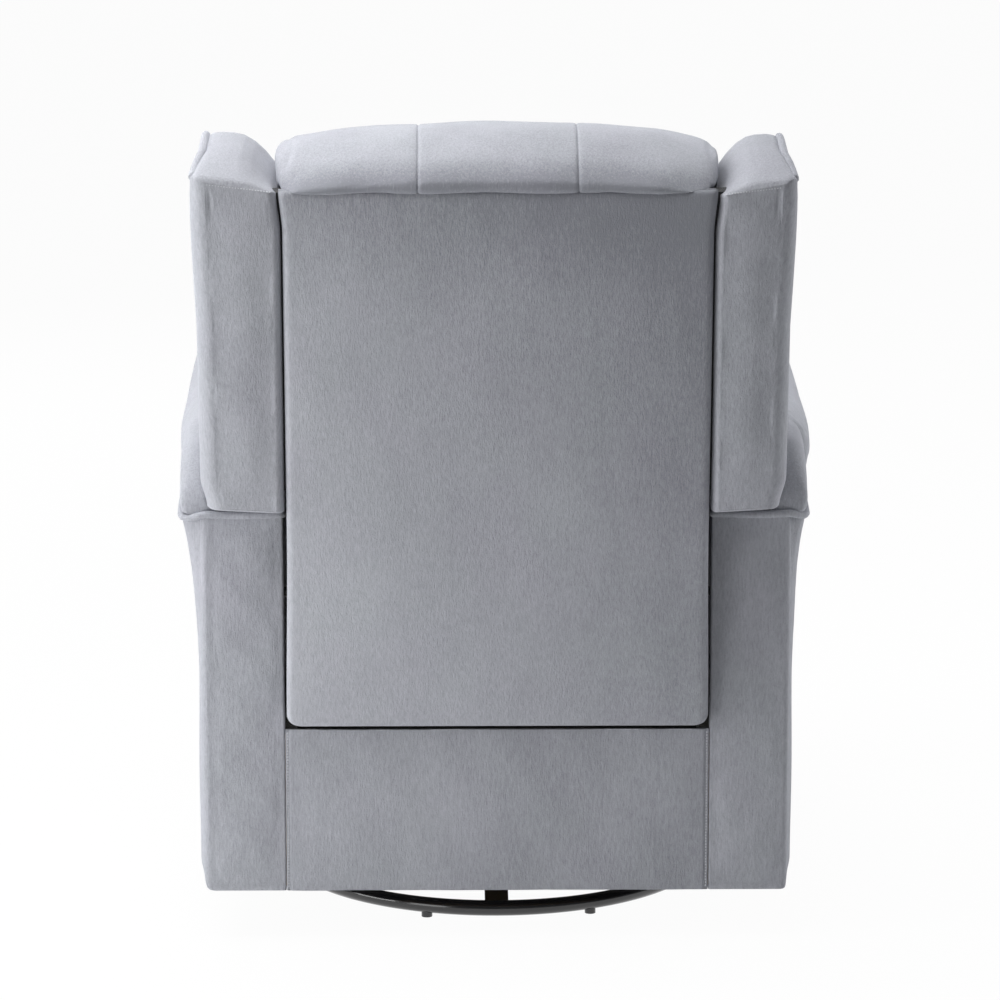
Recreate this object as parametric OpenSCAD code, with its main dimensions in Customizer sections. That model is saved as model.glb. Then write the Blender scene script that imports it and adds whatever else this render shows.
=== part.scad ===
// Swivel glider recliner, free standing on a round floor ring.
// Z is up, the sitter faces -Y, and the swivel axis is the Z axis. All sizes are in millimetres.

/* [Floor ring] */
// Outer radius of the floor ring
ring_r = 283; // [240:1:300]
// Diameter of the ring's tube
tube_d = 20; // [16:1:24]
// Height of a foot pad under the ring
foot_h = 5; // [3:0.5:8]
// Diameter of a foot pad
foot_d = 14; // [10:1:18]
// Number of foot pads
foot_count = 8; // [4:1:12]
// Turn of the first foot pad from the rear towards +X, in degrees
foot_turn = 19; // [0:1:44]
// Width of a spoke of the ring
spoke_w = 30; // [20:1:40]
// Height of a spoke
spoke_h = 12; // [8:1:14]
// Radius of the hub plate
hub_r = 90; // [82:1:110]
// Thickness of the hub plate
hub_t = 4; // [3:0.5:6]

/* [Swivel bearing] */
// Radius of both race plates
race_r = 78; // [72:1:82]
// Thickness of a race plate
race_t = 6; // [5:0.5:8]
// Radius of the circle that the balls run on
track_r = 60; // [45:1:64]
// Diameter of a ball
ball_d = 10; // [8:0.5:12]
// Number of balls
ball_count = 16; // [8:1:20]
// Diameter of the centre bolt
bolt_d = 16; // [12:1:20]
// Thickness of the bolt's head and of its nut
bolt_head_t = 8; // [5:1:10]

/* [Swivel platform] */
// Half width of the platform between its side plates
platform_half_w = 154; // [140:1:160]
// Length of the platform, front to rear
platform_l = 240; // [230:1:250]
// Thickness of the platform's base plate
platform_t = 5; // [4:0.5:8]
// Thickness of a glide side plate
side_plate_t = 4; // [3:0.5:5]
// Height of a side plate above the upper pivots
side_plate_over = 20; // [16:1:26]
// Radius of the lightening holes in a side plate
lighten_r = 26; // [10:1:32]

/* [Glide links] */
// Distance between the upper and the lower pivot of a link
glide_len = 130; // [110:1:140]
// Distance between the front and the rear pivots
glide_span = 200; // [180:1:206]
// Height of the lower pivots above the floor
glide_low_z = 95; // [90:1:100]
// Width of a link
glide_link_w = 28; // [24:1:32]
// Thickness of a link
glide_link_t = 4; // [3:0.5:5]
// Diameter of a glide pin
glide_pin_d = 12; // [8:1:14]
// Space beside a link for a pin's shoulder or head
glide_gap = 6; // [5:0.5:8]

/* [Body] */
// Clear width of the seat between the arms
seat_w = 529; // [500:1:545]
// Width of an arm below its flare
arm_w = 98.5; // [90:0.5:115]
// Front face of the arms, ahead of the swivel axis
arm_front = 440; // [430:1:450]
// Rear face of the arms, behind the swivel axis
arm_rear = 350; // [345:1:360]
// Height of the body's lower edge
body_z = 63; // [60:1:64]
// Height of the arms below their pads
arm_z = 546; // [535:1:550]
// How far the outer arm cover flares out under the pad
arm_flare = 23; // [5:1:26]
// Height at which the flare starts
flare_z = 380; // [300:1:450]
// Thickness of a cover with its wadding
cover_t = 4; // [3:0.5:6]
// Thickness of the arm boards
board_t = 18; // [15:1:22]
// Height of the lower edge of the inner arm cover
inner_cover_z = 330; // [328:1:345]
// Height of the lower rear panel's top edge
rear_panel_z = 271; // [240:1:272]

/* [Arm pads] */
// Height of the arm pads' top
pad_top_z = 632; // [610:1:650]
// Width of an arm pad at its front end
pad_w_front = 144.5; // [130:0.5:150]
// Width of an arm pad at its rear end
pad_w_rear = 129.5; // [120:0.5:144]
// Front end of the arm pads, ahead of the swivel axis
pad_front = 462; // [450:1:470]
// Rear end of the arm pads, behind the swivel axis
pad_rear = 183; // [150:1:186]

/* [Seat] */
// Height of the seat cushion's underside
seat_z = 352; // [350:1:360]
// Height of the seat cushion's crown above its underside
cushion_h = 146; // [110:1:150]
// Front of the seat cushion, ahead of the swivel axis
seat_front = 472; // [455:1:474]
// Rear end of the seat cushion, behind the swivel axis
seat_rear = 200; // [180:1:204]
// Height of the seat rails
rail_h = 28; // [20:1:29]
// Depth of the seat rails
rail_d = 25; // [18:1:27]
// Number of elastic straps under the seat cushion
seat_strap_count = 6; // [4:1:8]

/* [Back] */
// Lean of the back's rear face, in degrees
lean = 8.7; // [6:0.1:10]
// Height of the lower edge of the back's rear panel
back_z = 283; // [282:1:290]
// Rear face of the back at that edge, behind the swivel axis
back_y = 370; // [366:1:372]
// Gap between the back and an arm
back_gap = 6.5; // [4.5:0.5:14]
// Length of the rear panel along the lean
panel_l = 695; // [660:1:700]
// Thickness of the rear panel with its wadding
panel_t = 14; // [10:1:16]
// Depth of the back posts
post_d = 70; // [50:1:72]
// Width of the back posts
post_w = 36; // [25:1:40]
// Deepest point of the back cushion ahead of the rear face
back_depth = 305; // [285:1:310]
// Length of the back along the lean, up to its crown
back_l = 757; // [740:1:765]
// Place of the two sewn channels, out from the middle
channel_x = 96; // [80:1:120]
// Depth of the channels
channel_depth = 16; // [6:1:20]
// Number of webbing straps
strap_count = 5; // [3:1:6]

/* [Wings] */
// Width of a wing
wing_w = 101; // [90:1:104]
// Gap between a wing and the back's side
wing_gap = 6; // [4:0.5:12]
// Height of a wing's underside
wing_z = 566; // [556:1:575]
// Depth of a wing at its foot
wing_d_low = 222; // [190:1:224]
// Depth of a wing at its top
wing_d_top = 172; // [140:1:190]
// Length of the back along the lean up to a wing's top
wing_l = 722; // [705:1:735]

/* [Recline hinge] */
// Place of the hinge ahead of the arms' rear face
hinge_in = 40; // [30:1:42]
// Height of the hinge
hinge_z = 440; // [430:1:446]
// Diameter of the hinge pins
hinge_pin_d = 12; // [8:1:14]

/* [Footrest linkage] */
// Front pivot on the frame, ahead of the swivel axis
crank_y = 270; // [262:1:276]
// Height of that pivot
crank_z = 300; // [298:1:304]
// Distance of the rear pivot behind the front pivot
pair_y = 60; // [56:1:66]
// Drop of the rear pivot below the front pivot
pair_z = 7; // [4:1:12]
// Length of the two swinging links
swing_l = 200; // [190:1:202]
// Angle of the swinging links when folded, below forward, in degrees
fold_angle = 114; // [110:1:116]
// Distance from the carrier's pivot to the relay link's pivot
relay_r = 36; // [32:1:44]
// Angle of that distance when folded, above forward, in degrees
relay_angle = 96; // [90:1:100]
// Board pivot when folded, ahead of the swivel axis
board_pivot_y = 378; // [374:1:379]
// Height of the board pivot when folded
board_pivot_z = 290; // [284:1:294]
// Width of the linkage bars
bar_w = 22; // [18:1:23]
// How much a link narrows on each side between its round ends
bar_ease = 0.5; // [0.3:0.1:1]
// Thickness of the linkage bars
bar_t = 4; // [3:0.5:4.5]
// Side gap between linkage bars
bar_gap = 2; // [1.5:0.1:2.5]
// Diameter of the linkage pins
link_pin_d = 10; // [8:1:11]
// Diameter of the torque tube
torque_d = 22; // [16:1:24]
// Distance of the torque tube from the front pivot
torque_r = 40; // [34:1:60]

/* [Footrest] */
// Rear face of the footrest board when folded, ahead of the swivel axis
board_back = 393; // [392:1:396]
// Height of the board's lower edge when folded
board_low_z = 85; // [78:1:100]
// Height of the board's upper edge when folded
board_top_z = 345; // [335:1:346]
// Gap between an end of the board and an arm's inner face
board_side_gap = 14.5; // [9:0.5:34]
// Front of the footrest pad when folded, ahead of the swivel axis
foot_front = 475.9; // [455:0.1:476]

/* [Release] */
// Width of the pull tab
tab_w = 25; // [18:1:32]
// Thickness of the tab's webbing
tab_t = 1.9; // [1.5:0.1:2]
// Outer radius of the tab's loop
tab_r = 11; // [9:1:14]
// Height of the loop's middle
tab_z = 515; // [510:1:530]
// Place of the tab ahead of the swivel axis
tab_y = 88; // [40:1:140]
// Diameter of the release cable
cable_d = 6; // [4:0.5:7]

/* [Hidden] */

// Colours
velvet = [0.62, 0.63, 0.66];
velvet_light = [0.68, 0.69, 0.72];
black_steel = [0.05, 0.05, 0.06];
steel = [0.45, 0.46, 0.48];
zinc = [0.66, 0.67, 0.69];
timber = [0.72, 0.58, 0.40];
webbing = [0.22, 0.22, 0.24];

// Clearances, and one overrun that every cut shares
fit = 0.05;
near = 0.3;
over = 1;
$fn = 64;

// Floor ring and bearing, from the floor up
ring_mid_r = ring_r - tube_d / 2;
ring_mid_z = foot_h + tube_d / 2;
spoke_z = ring_mid_z - spoke_h / 2;
hub_z = spoke_z + spoke_h;
lower_race_z = hub_z + hub_t;
race_gap_share = 0.6;
race_gap = ball_d * race_gap_share;
ball_z = lower_race_z + race_t + race_gap / 2;
upper_race_z = lower_race_z + race_t + race_gap;
platform_z = upper_race_z + race_t;
nut_z = platform_z + platform_t + near;
nut_share = 0.85;
nut_r = bolt_d * nut_share;

// Glide, layers from the middle outwards
glide_high_z = glide_low_z + glide_len;
glide_plate_x = platform_half_w;
glide_link_x = glide_plate_x + side_plate_t + glide_gap;
glide_rail_x = glide_link_x + glide_link_t + glide_gap;
glide_rail_t = 4;
glide_rail_z = 70;
glide_rail_h = 42;
pin_head_t = 3;
head_over = 4;
pin_head_r = glide_pin_d / 2 + head_over;
cross_rail_y = 200;
cross_rail_d = 24;
cross_rail_h = 12;
cross_rail_z = 66;

// Body
seat_half = seat_w / 2;
body_half = seat_half + arm_w;
arm_board_x = seat_half + cover_t;
frame_clear = 5;
arm_board_z = body_z + frame_clear;
flare_power_share = 1.6;
flare_steps = 6;
panel_half = seat_half - near;
rear_board_drop = 6;
rear_board_top = rear_panel_z - rear_board_drop;

// Seat
strap_t = 3;
strap_w = 50;
front_rail_y = 320;
front_tongue = 43;
tongue_side_gap = 26.5;
tongue_half = seat_half - tongue_side_gap;
rear_rail_y = 150;
rail_z = seat_z - near - strap_t - rail_h;
seat_edge = 26;
seat_crown = 8;

// Back
back_half_w = seat_half - back_gap;
back_face = panel_t + post_d + strap_t;
frame_low = 8;
frame_top = panel_l - frame_clear;
back_rail_d = 35;
back_rail_h = 60;
bracket_t = 4;
bracket_reach = 20;
bracket_h = 120;
post_out = back_half_w - bracket_t;
low_half_w = post_out - near;
back_edge = 24;
back_crown = 5;
channel_w = 26;
roll_over = 4;
roll_half = back_half_w + roll_over;
roll_from_share = 0.62;
low_to_share = 0.34;
hinge_y = arm_rear - hinge_in;

// Wings
wing_in = back_half_w + wing_gap;
wing_out = wing_in + wing_w;
wing_board_t = board_t;
wing_padding = 22;
wing_board_out = wing_out - wing_padding;
wing_edge = 22;
wing_foot = (wing_z - back_z - wing_d_low * sin(lean)) / cos(lean) - over;
wing_board_foot = (wing_z - back_z) / cos(lean) + wing_edge;

// Linkage layers from the arm inwards
plate_x = seat_half;
relay_x = plate_x - bar_gap - bar_t;
swing_x = relay_x - bar_gap - bar_t;
carrier_x = swing_x - bar_gap - bar_t;
plate_low_z = 266;
plate_top_z = 326;
plate_front = 310;
plate_rear = 200;
shoulder_over = 3;
stud_shoulder_r = link_pin_d / 2 + shoulder_over;
rivet_t = 1.4;

// Linkage pivots in the folded pose, as [forward, up]
crank_at = [crank_y, crank_z];
pair_at = crank_at - [pair_y, pair_z];
swing_dir = [cos(fold_angle), -sin(fold_angle)];
knee_at = crank_at + swing_l * swing_dir;
heel_at = pair_at + swing_l * swing_dir;
relay_step = relay_r * [cos(relay_angle), sin(relay_angle)];
relay_at = knee_at + relay_step;
board_at = [board_pivot_y, board_pivot_z];
ear_at = board_at + relay_step;
torque_at = crank_at + torque_r * swing_dir;

// Footrest
board_half_w = seat_half - board_side_gap;
board_thick = 18;
flange_w = 46;
flange_t = 4;
foot_edge = 22;
foot_pad_back = board_back + board_thick;
foot_pad_overlap = 6;
foot_pad_top = seat_z - frame_clear;

// Release
strap_x = seat_half - near - tab_t;
strap_foot_z = 336;
lever_y = 240;
lever_z = 310;
lever_x = 120;
lever_t = 4;
lever_l = 44;
lever_w = 10;
lever_back = 14;
bracket_z = 300;

// Outlines of the soft forms, as shares of their depth and height
back_shares = [
  [0.275, 0.124], [0.489, 0.110], [0.590, 0.170], [0.643, 0.233], [0.787, 0.261], [0.944, 0.303],
  [1.000, 0.379], [0.984, 0.510], [0.928, 0.640], [0.872, 0.771], [0.787, 0.878], [0.584, 0.965],
  [0.321, 1.000], [0.105, 0.975], [0.012, 0.925], [0.098, 0.878], [0.230, 0.784], [0.249, 0.458]
];
seat_shares = [
  [0.004, 0.25], [0.000, 0.60], [0.020, 0.86], [0.090, 0.955], [0.300, 0.985], [0.550, 1.00],
  [0.800, 0.985], [0.930, 0.93], [0.988, 0.74], [1.000, 0.45], [0.985, 0.17], [0.950, 0.00],
  [0.880, -0.08], [0.500, -0.10], [0.080, -0.08], [0.015, 0.03]
];
foot_shares = [
  [-0.08, 0.50], [-0.08, 0.10], [0.05, 0.01], [0.45, 0.00], [0.82, 0.06], [0.96, 0.22],
  [1.00, 0.50], [0.96, 0.78], [0.82, 0.94], [0.45, 1.00], [0.05, 0.99], [-0.08, 0.90]
];
pad_shares = [
  [0.00, 0.45], [0.02, 0.10], [0.10, -0.03], [0.50, -0.04], [0.90, -0.03], [0.985, 0.12],
  [1.00, 0.42], [0.975, 0.72], [0.88, 0.92], [0.68, 0.99], [0.45, 1.00], [0.20, 0.95],
  [0.05, 0.75]
];
wing_shares = [
  [0.00, 0.50], [0.00, 0.14], [0.10, 0.02], [0.50, 0.00], [0.90, 0.02], [1.00, 0.14],
  [1.00, 0.50], [0.99, 0.82], [0.88, 0.96], [0.52, 1.00], [0.14, 0.96], [0.00, 0.80]
];
side_station_shares = [-1, -0.993, -0.972, -0.94, -0.86, -0.70, -0.45, -0.20, 0.00, 0.20, 0.45, 0.70,
  0.86, 0.94, 0.972, 0.993, 1];
back_station_shares = [-1, -0.992, -0.97, -0.935, -0.86, -0.72, -0.56, -0.455, -0.405, -0.37, -0.33, -0.28,
  -0.18, -0.06, 0.06, 0.18, 0.28, 0.33, 0.37, 0.405, 0.455, 0.56, 0.72, 0.86, 0.935, 0.97, 0.992, 1];
wing_station_shares = [0, 0.15, 0.30, 0.48, 0.66, 0.80, 0.88, 0.94, 0.975, 0.992, 1];

// A smooth closed curve through points, with steps points to a span
function spline_point(a, b, c, d, t) =
  0.5 * (2 * b + (c - a) * t + (2 * a - 5 * b + 4 * c - d) * t * t + (3 * b - a - 3 * c + d) * t * t * t);
function smooth(points, steps) =
  let (n = len(points))
  facing([for (i = [0:n - 1], k = [0:steps - 1])
    spline_point(points[(i + n - 1) % n], points[i], points[(i + 1) % n], points[(i + 2) % n], k / steps)]);

// The same outline with its points counterclockwise
function facing(points) =
  let (n = len(points),
    twice_area = sum([for (i = [0:n - 1]) cross(points[i], points[(i + 1) % n])]))
  twice_area > 0 ? points : [for (i = [n - 1:-1:0]) points[i]];

// Shares of a depth and a height, turned into an outline from a corner
function outline(shares, corner, size) = [for (s = shares) corner + [s.x * size.x, s.y * size.y]];

// An outline drawn in by a distance, square to itself
function drawn_in(points, distance) =
  let (n = len(points))
  [for (i = [0:n - 1])
    let (along = points[(i + 1) % n] - points[(i + n - 1) % n])
    points[i] + distance * [-along.y, along.x] / norm(along)];

// Share of a round edge's radius that is lost at a distance inside it
function round_share(inside, edge) = inside >= edge ? 0 : 1 - sqrt(1 - pow(1 - max(inside, 0) / edge, 2));

// Depth of a sewn channel at a distance from its seam, as a share
function channel_share(away, width) = away >= width ? 0 : pow(1 - away / width, 2);

// A closed solid through rings of equally many points, with fans over both ends
module loft(rings) {
  n = len(rings[0]);
  last = len(rings) - 1;
  ends = [mean_point(rings[0]), mean_point(rings[last])];
  points = concat([for (r = rings, p = r) p], ends);
  sides = [for (i = [0:last - 1], j = [0:n - 1], half = [0:1])
    let (a = i * n + j, b = i * n + (j + 1) % n, c = a + n, d = b + n)
    half == 0 ? [a, c, b] : [b, c, d]];
  low = [for (j = [0:n - 1]) [(last + 1) * n, j, (j + 1) % n]];
  high = [for (j = [0:n - 1]) [(last + 1) * n + 1, last * n + (j + 1) % n, last * n + j]];
  polyhedron(points = points, faces = concat(sides, low, high), convexity = 10);
}
function mean_point(points) = [for (k = [0:2]) sum([for (p = points) p[k]]) / len(points)];
function sum(values, i = 0) = i >= len(values) ? 0 : values[i] + sum(values, i + 1);

// A round tube along a route, with rings square to it
module tube(route, r, sides) {
  last = len(route) - 1;
  loft([for (i = [0:last])
    let (along = route[min(i + 1, last)] - route[max(i - 1, 0)],
      side = cross(along, [0, 0, 1]) / norm(cross(along, [0, 0, 1])),
      up = cross(side, along) / norm(cross(side, along)))
    [for (k = [0:sides - 1]) route[i] + r * (cos(k * 360 / sides) * side - sin(k * 360 / sides) * up)]]);
}

// Mirrors its children from the sitter's left, which is +X, to the sitter's right
module other_side() {
  mirror([1, 0, 0]) children();
}

// Own frame of the back: Y is out of the rear face, Z runs up the lean
module leaned() {
  translate([0, back_y, back_z]) rotate([-lean, 0, 0]) children();
}

// Sets a flat drawing in the forward and up plane, as a plate from x outwards
module plate_at(x, thickness) {
  translate([x, 0, 0]) rotate([90, 0, -90]) mirror([0, 0, 1]) linear_extrude(thickness) children();
}

// A round bar along X
module pin_at(at, x, length, r) {
  translate([x, -at.x, at.y]) rotate([0, 90, 0]) cylinder(h = length, r = r);
}

// A bar between two points of a plane, a little narrower between its round ends
module bar(a, b, width) {
  step = b - a;
  waist = width - 2 * bar_ease;
  translate(a) circle(d = width);
  translate(b) circle(d = width);
  translate(a) rotate(atan2(step.y, step.x)) translate([0, -waist / 2]) square([norm(step), waist]);
}

module hole(at, d) {
  translate(at) circle(d = d + 2 * fit);
}

module box(low, high) {
  translate(low) cube(high - low);
}

// Floor ring, feet and spokes
module floor_ring() {
  color(black_steel) translate([0, 0, ring_mid_z])
    rotate_extrude() translate([ring_mid_r, 0]) circle(d = tube_d);
}

module ring_feet() {
  color(black_steel) for (i = [0:foot_count - 1])
    rotate(90 - foot_turn + i * 360 / foot_count) difference() {
      translate([ring_mid_r, 0, 0]) cylinder(h = foot_h + tube_d / 4, d = foot_d);
      translate([0, 0, ring_mid_z]) rotate_extrude() translate([ring_mid_r, 0]) circle(d = tube_d);
    }
}

module ring_spokes() {
  color(black_steel) difference() {
    union() {
      for (turn = [0, 90]) rotate(turn)
        box([-ring_mid_r, -spoke_w / 2, spoke_z], [ring_mid_r, spoke_w / 2, spoke_z + spoke_h]);
      translate([0, 0, hub_z]) cylinder(h = hub_t, r = hub_r);
    }
    translate([0, 0, ring_mid_z]) rotate_extrude() translate([ring_mid_r, 0]) circle(d = tube_d);
    translate([0, 0, spoke_z - over]) cylinder(h = spoke_h + hub_t + 2 * over, d = bolt_d);
  }
}

// Swivel bearing
module ball_track() {
  translate([0, 0, ball_z]) rotate_extrude() translate([track_r, 0]) circle(r = ball_d / 2 + fit);
}

module lower_race() {
  color(zinc) difference() {
    translate([0, 0, lower_race_z]) cylinder(h = race_t, r = race_r);
    ball_track();
    translate([0, 0, lower_race_z - over]) cylinder(h = race_t + 2 * over, d = bolt_d);
  }
}

module upper_race() {
  color(zinc) difference() {
    translate([0, 0, upper_race_z]) cylinder(h = race_t, r = race_r);
    ball_track();
    translate([0, 0, upper_race_z - over]) cylinder(h = race_t + 2 * over, d = bolt_d + 2 * fit);
  }
}

module bearing_balls() {
  color(zinc) for (i = [0:ball_count - 1])
    rotate(i * 360 / ball_count) translate([track_r, 0, ball_z]) sphere(d = ball_d);
}

module centre_bolt() {
  color(steel) {
    translate([0, 0, spoke_z]) cylinder(h = nut_z - spoke_z, d = bolt_d);
    translate([0, 0, nut_z]) cylinder(h = bolt_head_t, r = nut_r, $fn = 6);
  }
}

// Swivel platform
module platform_plate() {
  color(steel) difference() {
    box([-platform_half_w, -platform_l / 2, platform_z], [platform_half_w, platform_l / 2, platform_z + platform_t]);
    translate([0, 0, platform_z - over]) cylinder(h = platform_t + 2 * over, d = bolt_d + 2 * fit);
  }
}

module glide_plate() {
  top = glide_high_z + side_plate_over;
  color(steel) plate_at(glide_plate_x, side_plate_t) difference() {
    translate([-platform_l / 2, platform_z]) square([platform_l, top - platform_z]);
    for (side = [-1, 1]) translate([side * glide_span / 2, glide_high_z]) circle(d = glide_pin_d);
    for (k = [-1:1]) translate([k * platform_l / 4, (platform_z + top) / 2]) circle(r = lighten_r);
  }
}

module glide_plate_left() {
  glide_plate();
}

module glide_plate_right() {
  other_side() glide_plate();
}

module upper_glide_pin(at) {
  link_face = glide_link_x - near;
  head = glide_link_x + glide_link_t + near;
  pin_at(at, glide_plate_x, head - glide_plate_x, glide_pin_d / 2);
  pin_at(at, glide_plate_x + side_plate_t, link_face - glide_plate_x - side_plate_t, pin_head_r);
  pin_at(at, head, pin_head_t, pin_head_r);
}

module upper_glide_pins() {
  color(zinc) for (side = [0, 1], end = [-1, 1])
    mirror([side, 0, 0]) upper_glide_pin([end * glide_span / 2, glide_high_z]);
}

// Glide links
module glide_link(end) {
  foot = [end * glide_span / 2, glide_low_z];
  head = [end * glide_span / 2, glide_high_z];
  color(zinc) plate_at(glide_link_x, glide_link_t) difference() {
    bar(foot, head, glide_link_w);
    hole(foot, glide_pin_d);
    hole(head, glide_pin_d);
  }
}

module front_glide_link_left() {
  glide_link(1);
}

module front_glide_link_right() {
  other_side() glide_link(1);
}

module rear_glide_link_left() {
  glide_link(-1);
}

module rear_glide_link_right() {
  other_side() glide_link(-1);
}

// Lower frame of the chair
module glide_rail() {
  color(steel) plate_at(glide_rail_x, glide_rail_t) difference() {
    translate([-cross_rail_y, glide_rail_z]) square([2 * cross_rail_y, glide_rail_h]);
    for (end = [-1, 1]) translate([end * glide_span / 2, glide_low_z]) circle(d = glide_pin_d);
  }
}

module glide_rail_left() {
  glide_rail();
}

module glide_rail_right() {
  other_side() glide_rail();
}

module lower_glide_pin(at) {
  head = glide_link_x - near - pin_head_t;
  shoulder = glide_link_x + glide_link_t + near;
  pin_at(at, head, pin_head_t, pin_head_r);
  pin_at(at, head + pin_head_t, glide_rail_x + glide_rail_t - head - pin_head_t, glide_pin_d / 2);
  pin_at(at, shoulder, glide_rail_x - shoulder, pin_head_r);
}

module lower_glide_pins() {
  color(zinc) for (side = [0, 1], end = [-1, 1])
    mirror([side, 0, 0]) lower_glide_pin([end * glide_span / 2, glide_low_z]);
}

module cross_rail(y) {
  color(steel) box([-arm_board_x, y, cross_rail_z], [arm_board_x, y + cross_rail_d, cross_rail_z + cross_rail_h]);
}

module front_cross_rail() {
  cross_rail(-cross_rail_y - cross_rail_d);
}

module rear_cross_rail() {
  cross_rail(cross_rail_y);
}

module mechanism_plate() {
  color(steel) plate_at(plate_x, cover_t) difference() {
    translate([-plate_rear, plate_low_z]) square([plate_rear + plate_front, plate_top_z - plate_low_z]);
    translate(crank_at) circle(d = link_pin_d);
    translate(pair_at) circle(d = link_pin_d);
  }
}

module mechanism_plate_left() {
  mechanism_plate();
}

module mechanism_plate_right() {
  other_side() mechanism_plate();
}

module linkage_stud(at) {
  swing_face = swing_x + bar_t + near;
  head = swing_x - near - rivet_t;
  pin_at(at, head, rivet_t, stud_shoulder_r);
  pin_at(at, head + rivet_t, plate_x + cover_t - head - rivet_t, link_pin_d / 2);
  pin_at(at, swing_face, plate_x - swing_face, stud_shoulder_r);
}

module linkage_studs() {
  color(zinc) for (side = [0, 1], at = [crank_at, pair_at]) mirror([side, 0, 0]) linkage_stud(at);
}

// Arms
function flare_at(z) = z <= flare_z ? 0 : arm_flare * pow((z - flare_z) / (arm_z - flare_z), flare_power_share);

function arm_outline(inset, foot, top) = concat(
  [[seat_half + inset, top], [seat_half + inset, foot], [body_half - inset, foot]],
  [for (k = [0:flare_steps]) let (z = flare_z + k * (top - flare_z) / flare_steps)
    [body_half - inset + flare_at(z), z]]);

module along_arm(front, rear) {
  translate([0, rear, 0]) rotate([90, 0, 0]) linear_extrude(front + rear) children();
}

module arm_cover() {
  color(velvet) difference() {
    along_arm(arm_front, arm_rear) polygon(arm_outline(0, body_z, arm_z));
    along_arm(arm_front - cover_t, arm_rear - cover_t)
      polygon(arm_outline(cover_t, body_z - over, arm_z - cover_t));
    box([seat_half - over, -arm_front + cover_t, body_z - over],
      [seat_half + cover_t + over, arm_rear - cover_t, inner_cover_z]);
    pin_at([-hinge_y, hinge_z], seat_half - over, cover_t + 2 * over, hinge_pin_d / 2);
  }
}

module arm_cover_left() {
  arm_cover();
}

module arm_cover_right() {
  other_side() arm_cover();
}

module arm_frame() {
  front = arm_front - cover_t;
  rear = arm_rear - cover_t;
  top = arm_z - cover_t;
  outer = body_half - cover_t;
  color(timber) difference() {
    box([arm_board_x, -front, arm_board_z], [outer, rear, top]);
    box([arm_board_x + board_t, -front + board_t, arm_board_z - over], [outer - board_t, rear - board_t, top - board_t]);
    pin_at([-hinge_y, hinge_z], arm_board_x - over, board_t + 2 * over, hinge_pin_d / 2);
  }
}

module arm_frame_left() {
  arm_frame();
}

module arm_frame_right() {
  other_side() arm_frame();
}

module arm_pad() {
  length = pad_front + pad_rear;
  height = pad_top_z - arm_z;
  edge = board_t;
  spread = pad_w_front - pad_w_rear;
  color(velvet_light) difference() {
    rotate([90, 0, 0]) translate([0, 0, -pad_rear]) loft([for (s = side_station_shares)
      let (at = (s + 1) / 2 * length,
        lost = edge * round_share(min(at, length - at), edge),
        wide = pad_w_rear + spread * at / length)
      [for (p = drawn_in(smooth(outline(pad_shares, [seat_half, arm_z], [wide, height]), 2), lost)) [p.x, p.y, at]]]);
    box([0, -pad_front - over, 0], [seat_half + pad_w_front + over, pad_rear + over, arm_z]);
  }
}

module arm_pad_left() {
  arm_pad();
}

module arm_pad_right() {
  other_side() arm_pad();
}

// Rear of the body
module rear_base_board() {
  color(timber)
    box([-arm_board_x, arm_rear - cover_t - board_t, arm_board_z], [arm_board_x, arm_rear - cover_t, rear_board_top]);
}

module lower_rear_panel() {
  color(velvet) box([-panel_half, arm_rear - cover_t, body_z], [panel_half, arm_rear, rear_panel_z]);
}

// Seat
module seat_front_rail() {
  color(timber) {
    box([-seat_half, -front_rail_y - rail_d, rail_z], [seat_half, -front_rail_y, rail_z + rail_h]);
    box([-tongue_half, -front_rail_y - rail_d - front_tongue, rail_z],
      [tongue_half, -front_rail_y - rail_d, rail_z + rail_h]);
  }
}

module seat_rear_rail() {
  color(timber) box([-seat_half, rear_rail_y, rail_z], [seat_half, rear_rail_y + rail_d, rail_z + rail_h]);
}

// Elastic straps run over both seat rails and carry the cushion
module seat_straps() {
  pitch = 2 * tongue_half / seat_strap_count;
  color(webbing) for (i = [0:seat_strap_count - 1]) let (x = -tongue_half + (i + 0.5) * pitch)
    box([x - strap_w / 2, -front_rail_y - rail_d, rail_z + rail_h],
      [x + strap_w / 2, rear_rail_y + rail_d, seat_z - near]);
}

module seat_cushion() {
  half = seat_half - near - tab_t - near;
  depth = seat_front + seat_rear;
  color(velvet) difference() {
    rotate([90, 0, 90]) loft([for (s = side_station_shares)
      let (x = s * half,
        lost = seat_crown * pow(abs(s), 3) + seat_edge * round_share(half - abs(x), seat_edge))
      [for (p = drawn_in(smooth(outline(seat_shares, [seat_rear, seat_z], [-depth, cushion_h]), 2), lost))
        [p.x, p.y, x]]]);
    box([-seat_w, -seat_front - over, 0], [seat_w, seat_rear + over, seat_z]);
  }
}

// Recline hinge
module recline_pins() {
  color(zinc) for (side = [0, 1]) mirror([side, 0, 0])
    pin_at([-hinge_y, hinge_z], post_out + near, arm_board_x + board_t - post_out - near, hinge_pin_d / 2);
}

module hinge_bracket() {
  foot = hinge_z - bracket_h / 2;
  rear = back_y + (foot - back_z) * tan(lean) - panel_t / cos(lean);
  front = hinge_y - bracket_reach;
  rise = bracket_h * tan(lean);
  color(steel) plate_at(post_out, bracket_t) difference() {
    polygon([[-front, foot + bracket_reach], [-rear, foot], [-rear - rise, foot + bracket_h],
      [-front - bracket_reach, foot + bracket_h], [-front, foot + bracket_h - bracket_reach]]);
    hole([-hinge_y, hinge_z], hinge_pin_d);
  }
}

module hinge_bracket_left() {
  hinge_bracket();
}

module hinge_bracket_right() {
  other_side() hinge_bracket();
}

// Back frame
module back_post() {
  color(timber) leaned()
    box([post_out - post_w, -panel_t - post_d, frame_low], [post_out, -panel_t, frame_top]);
}

module back_post_left() {
  back_post();
}

module back_post_right() {
  other_side() back_post();
}

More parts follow.
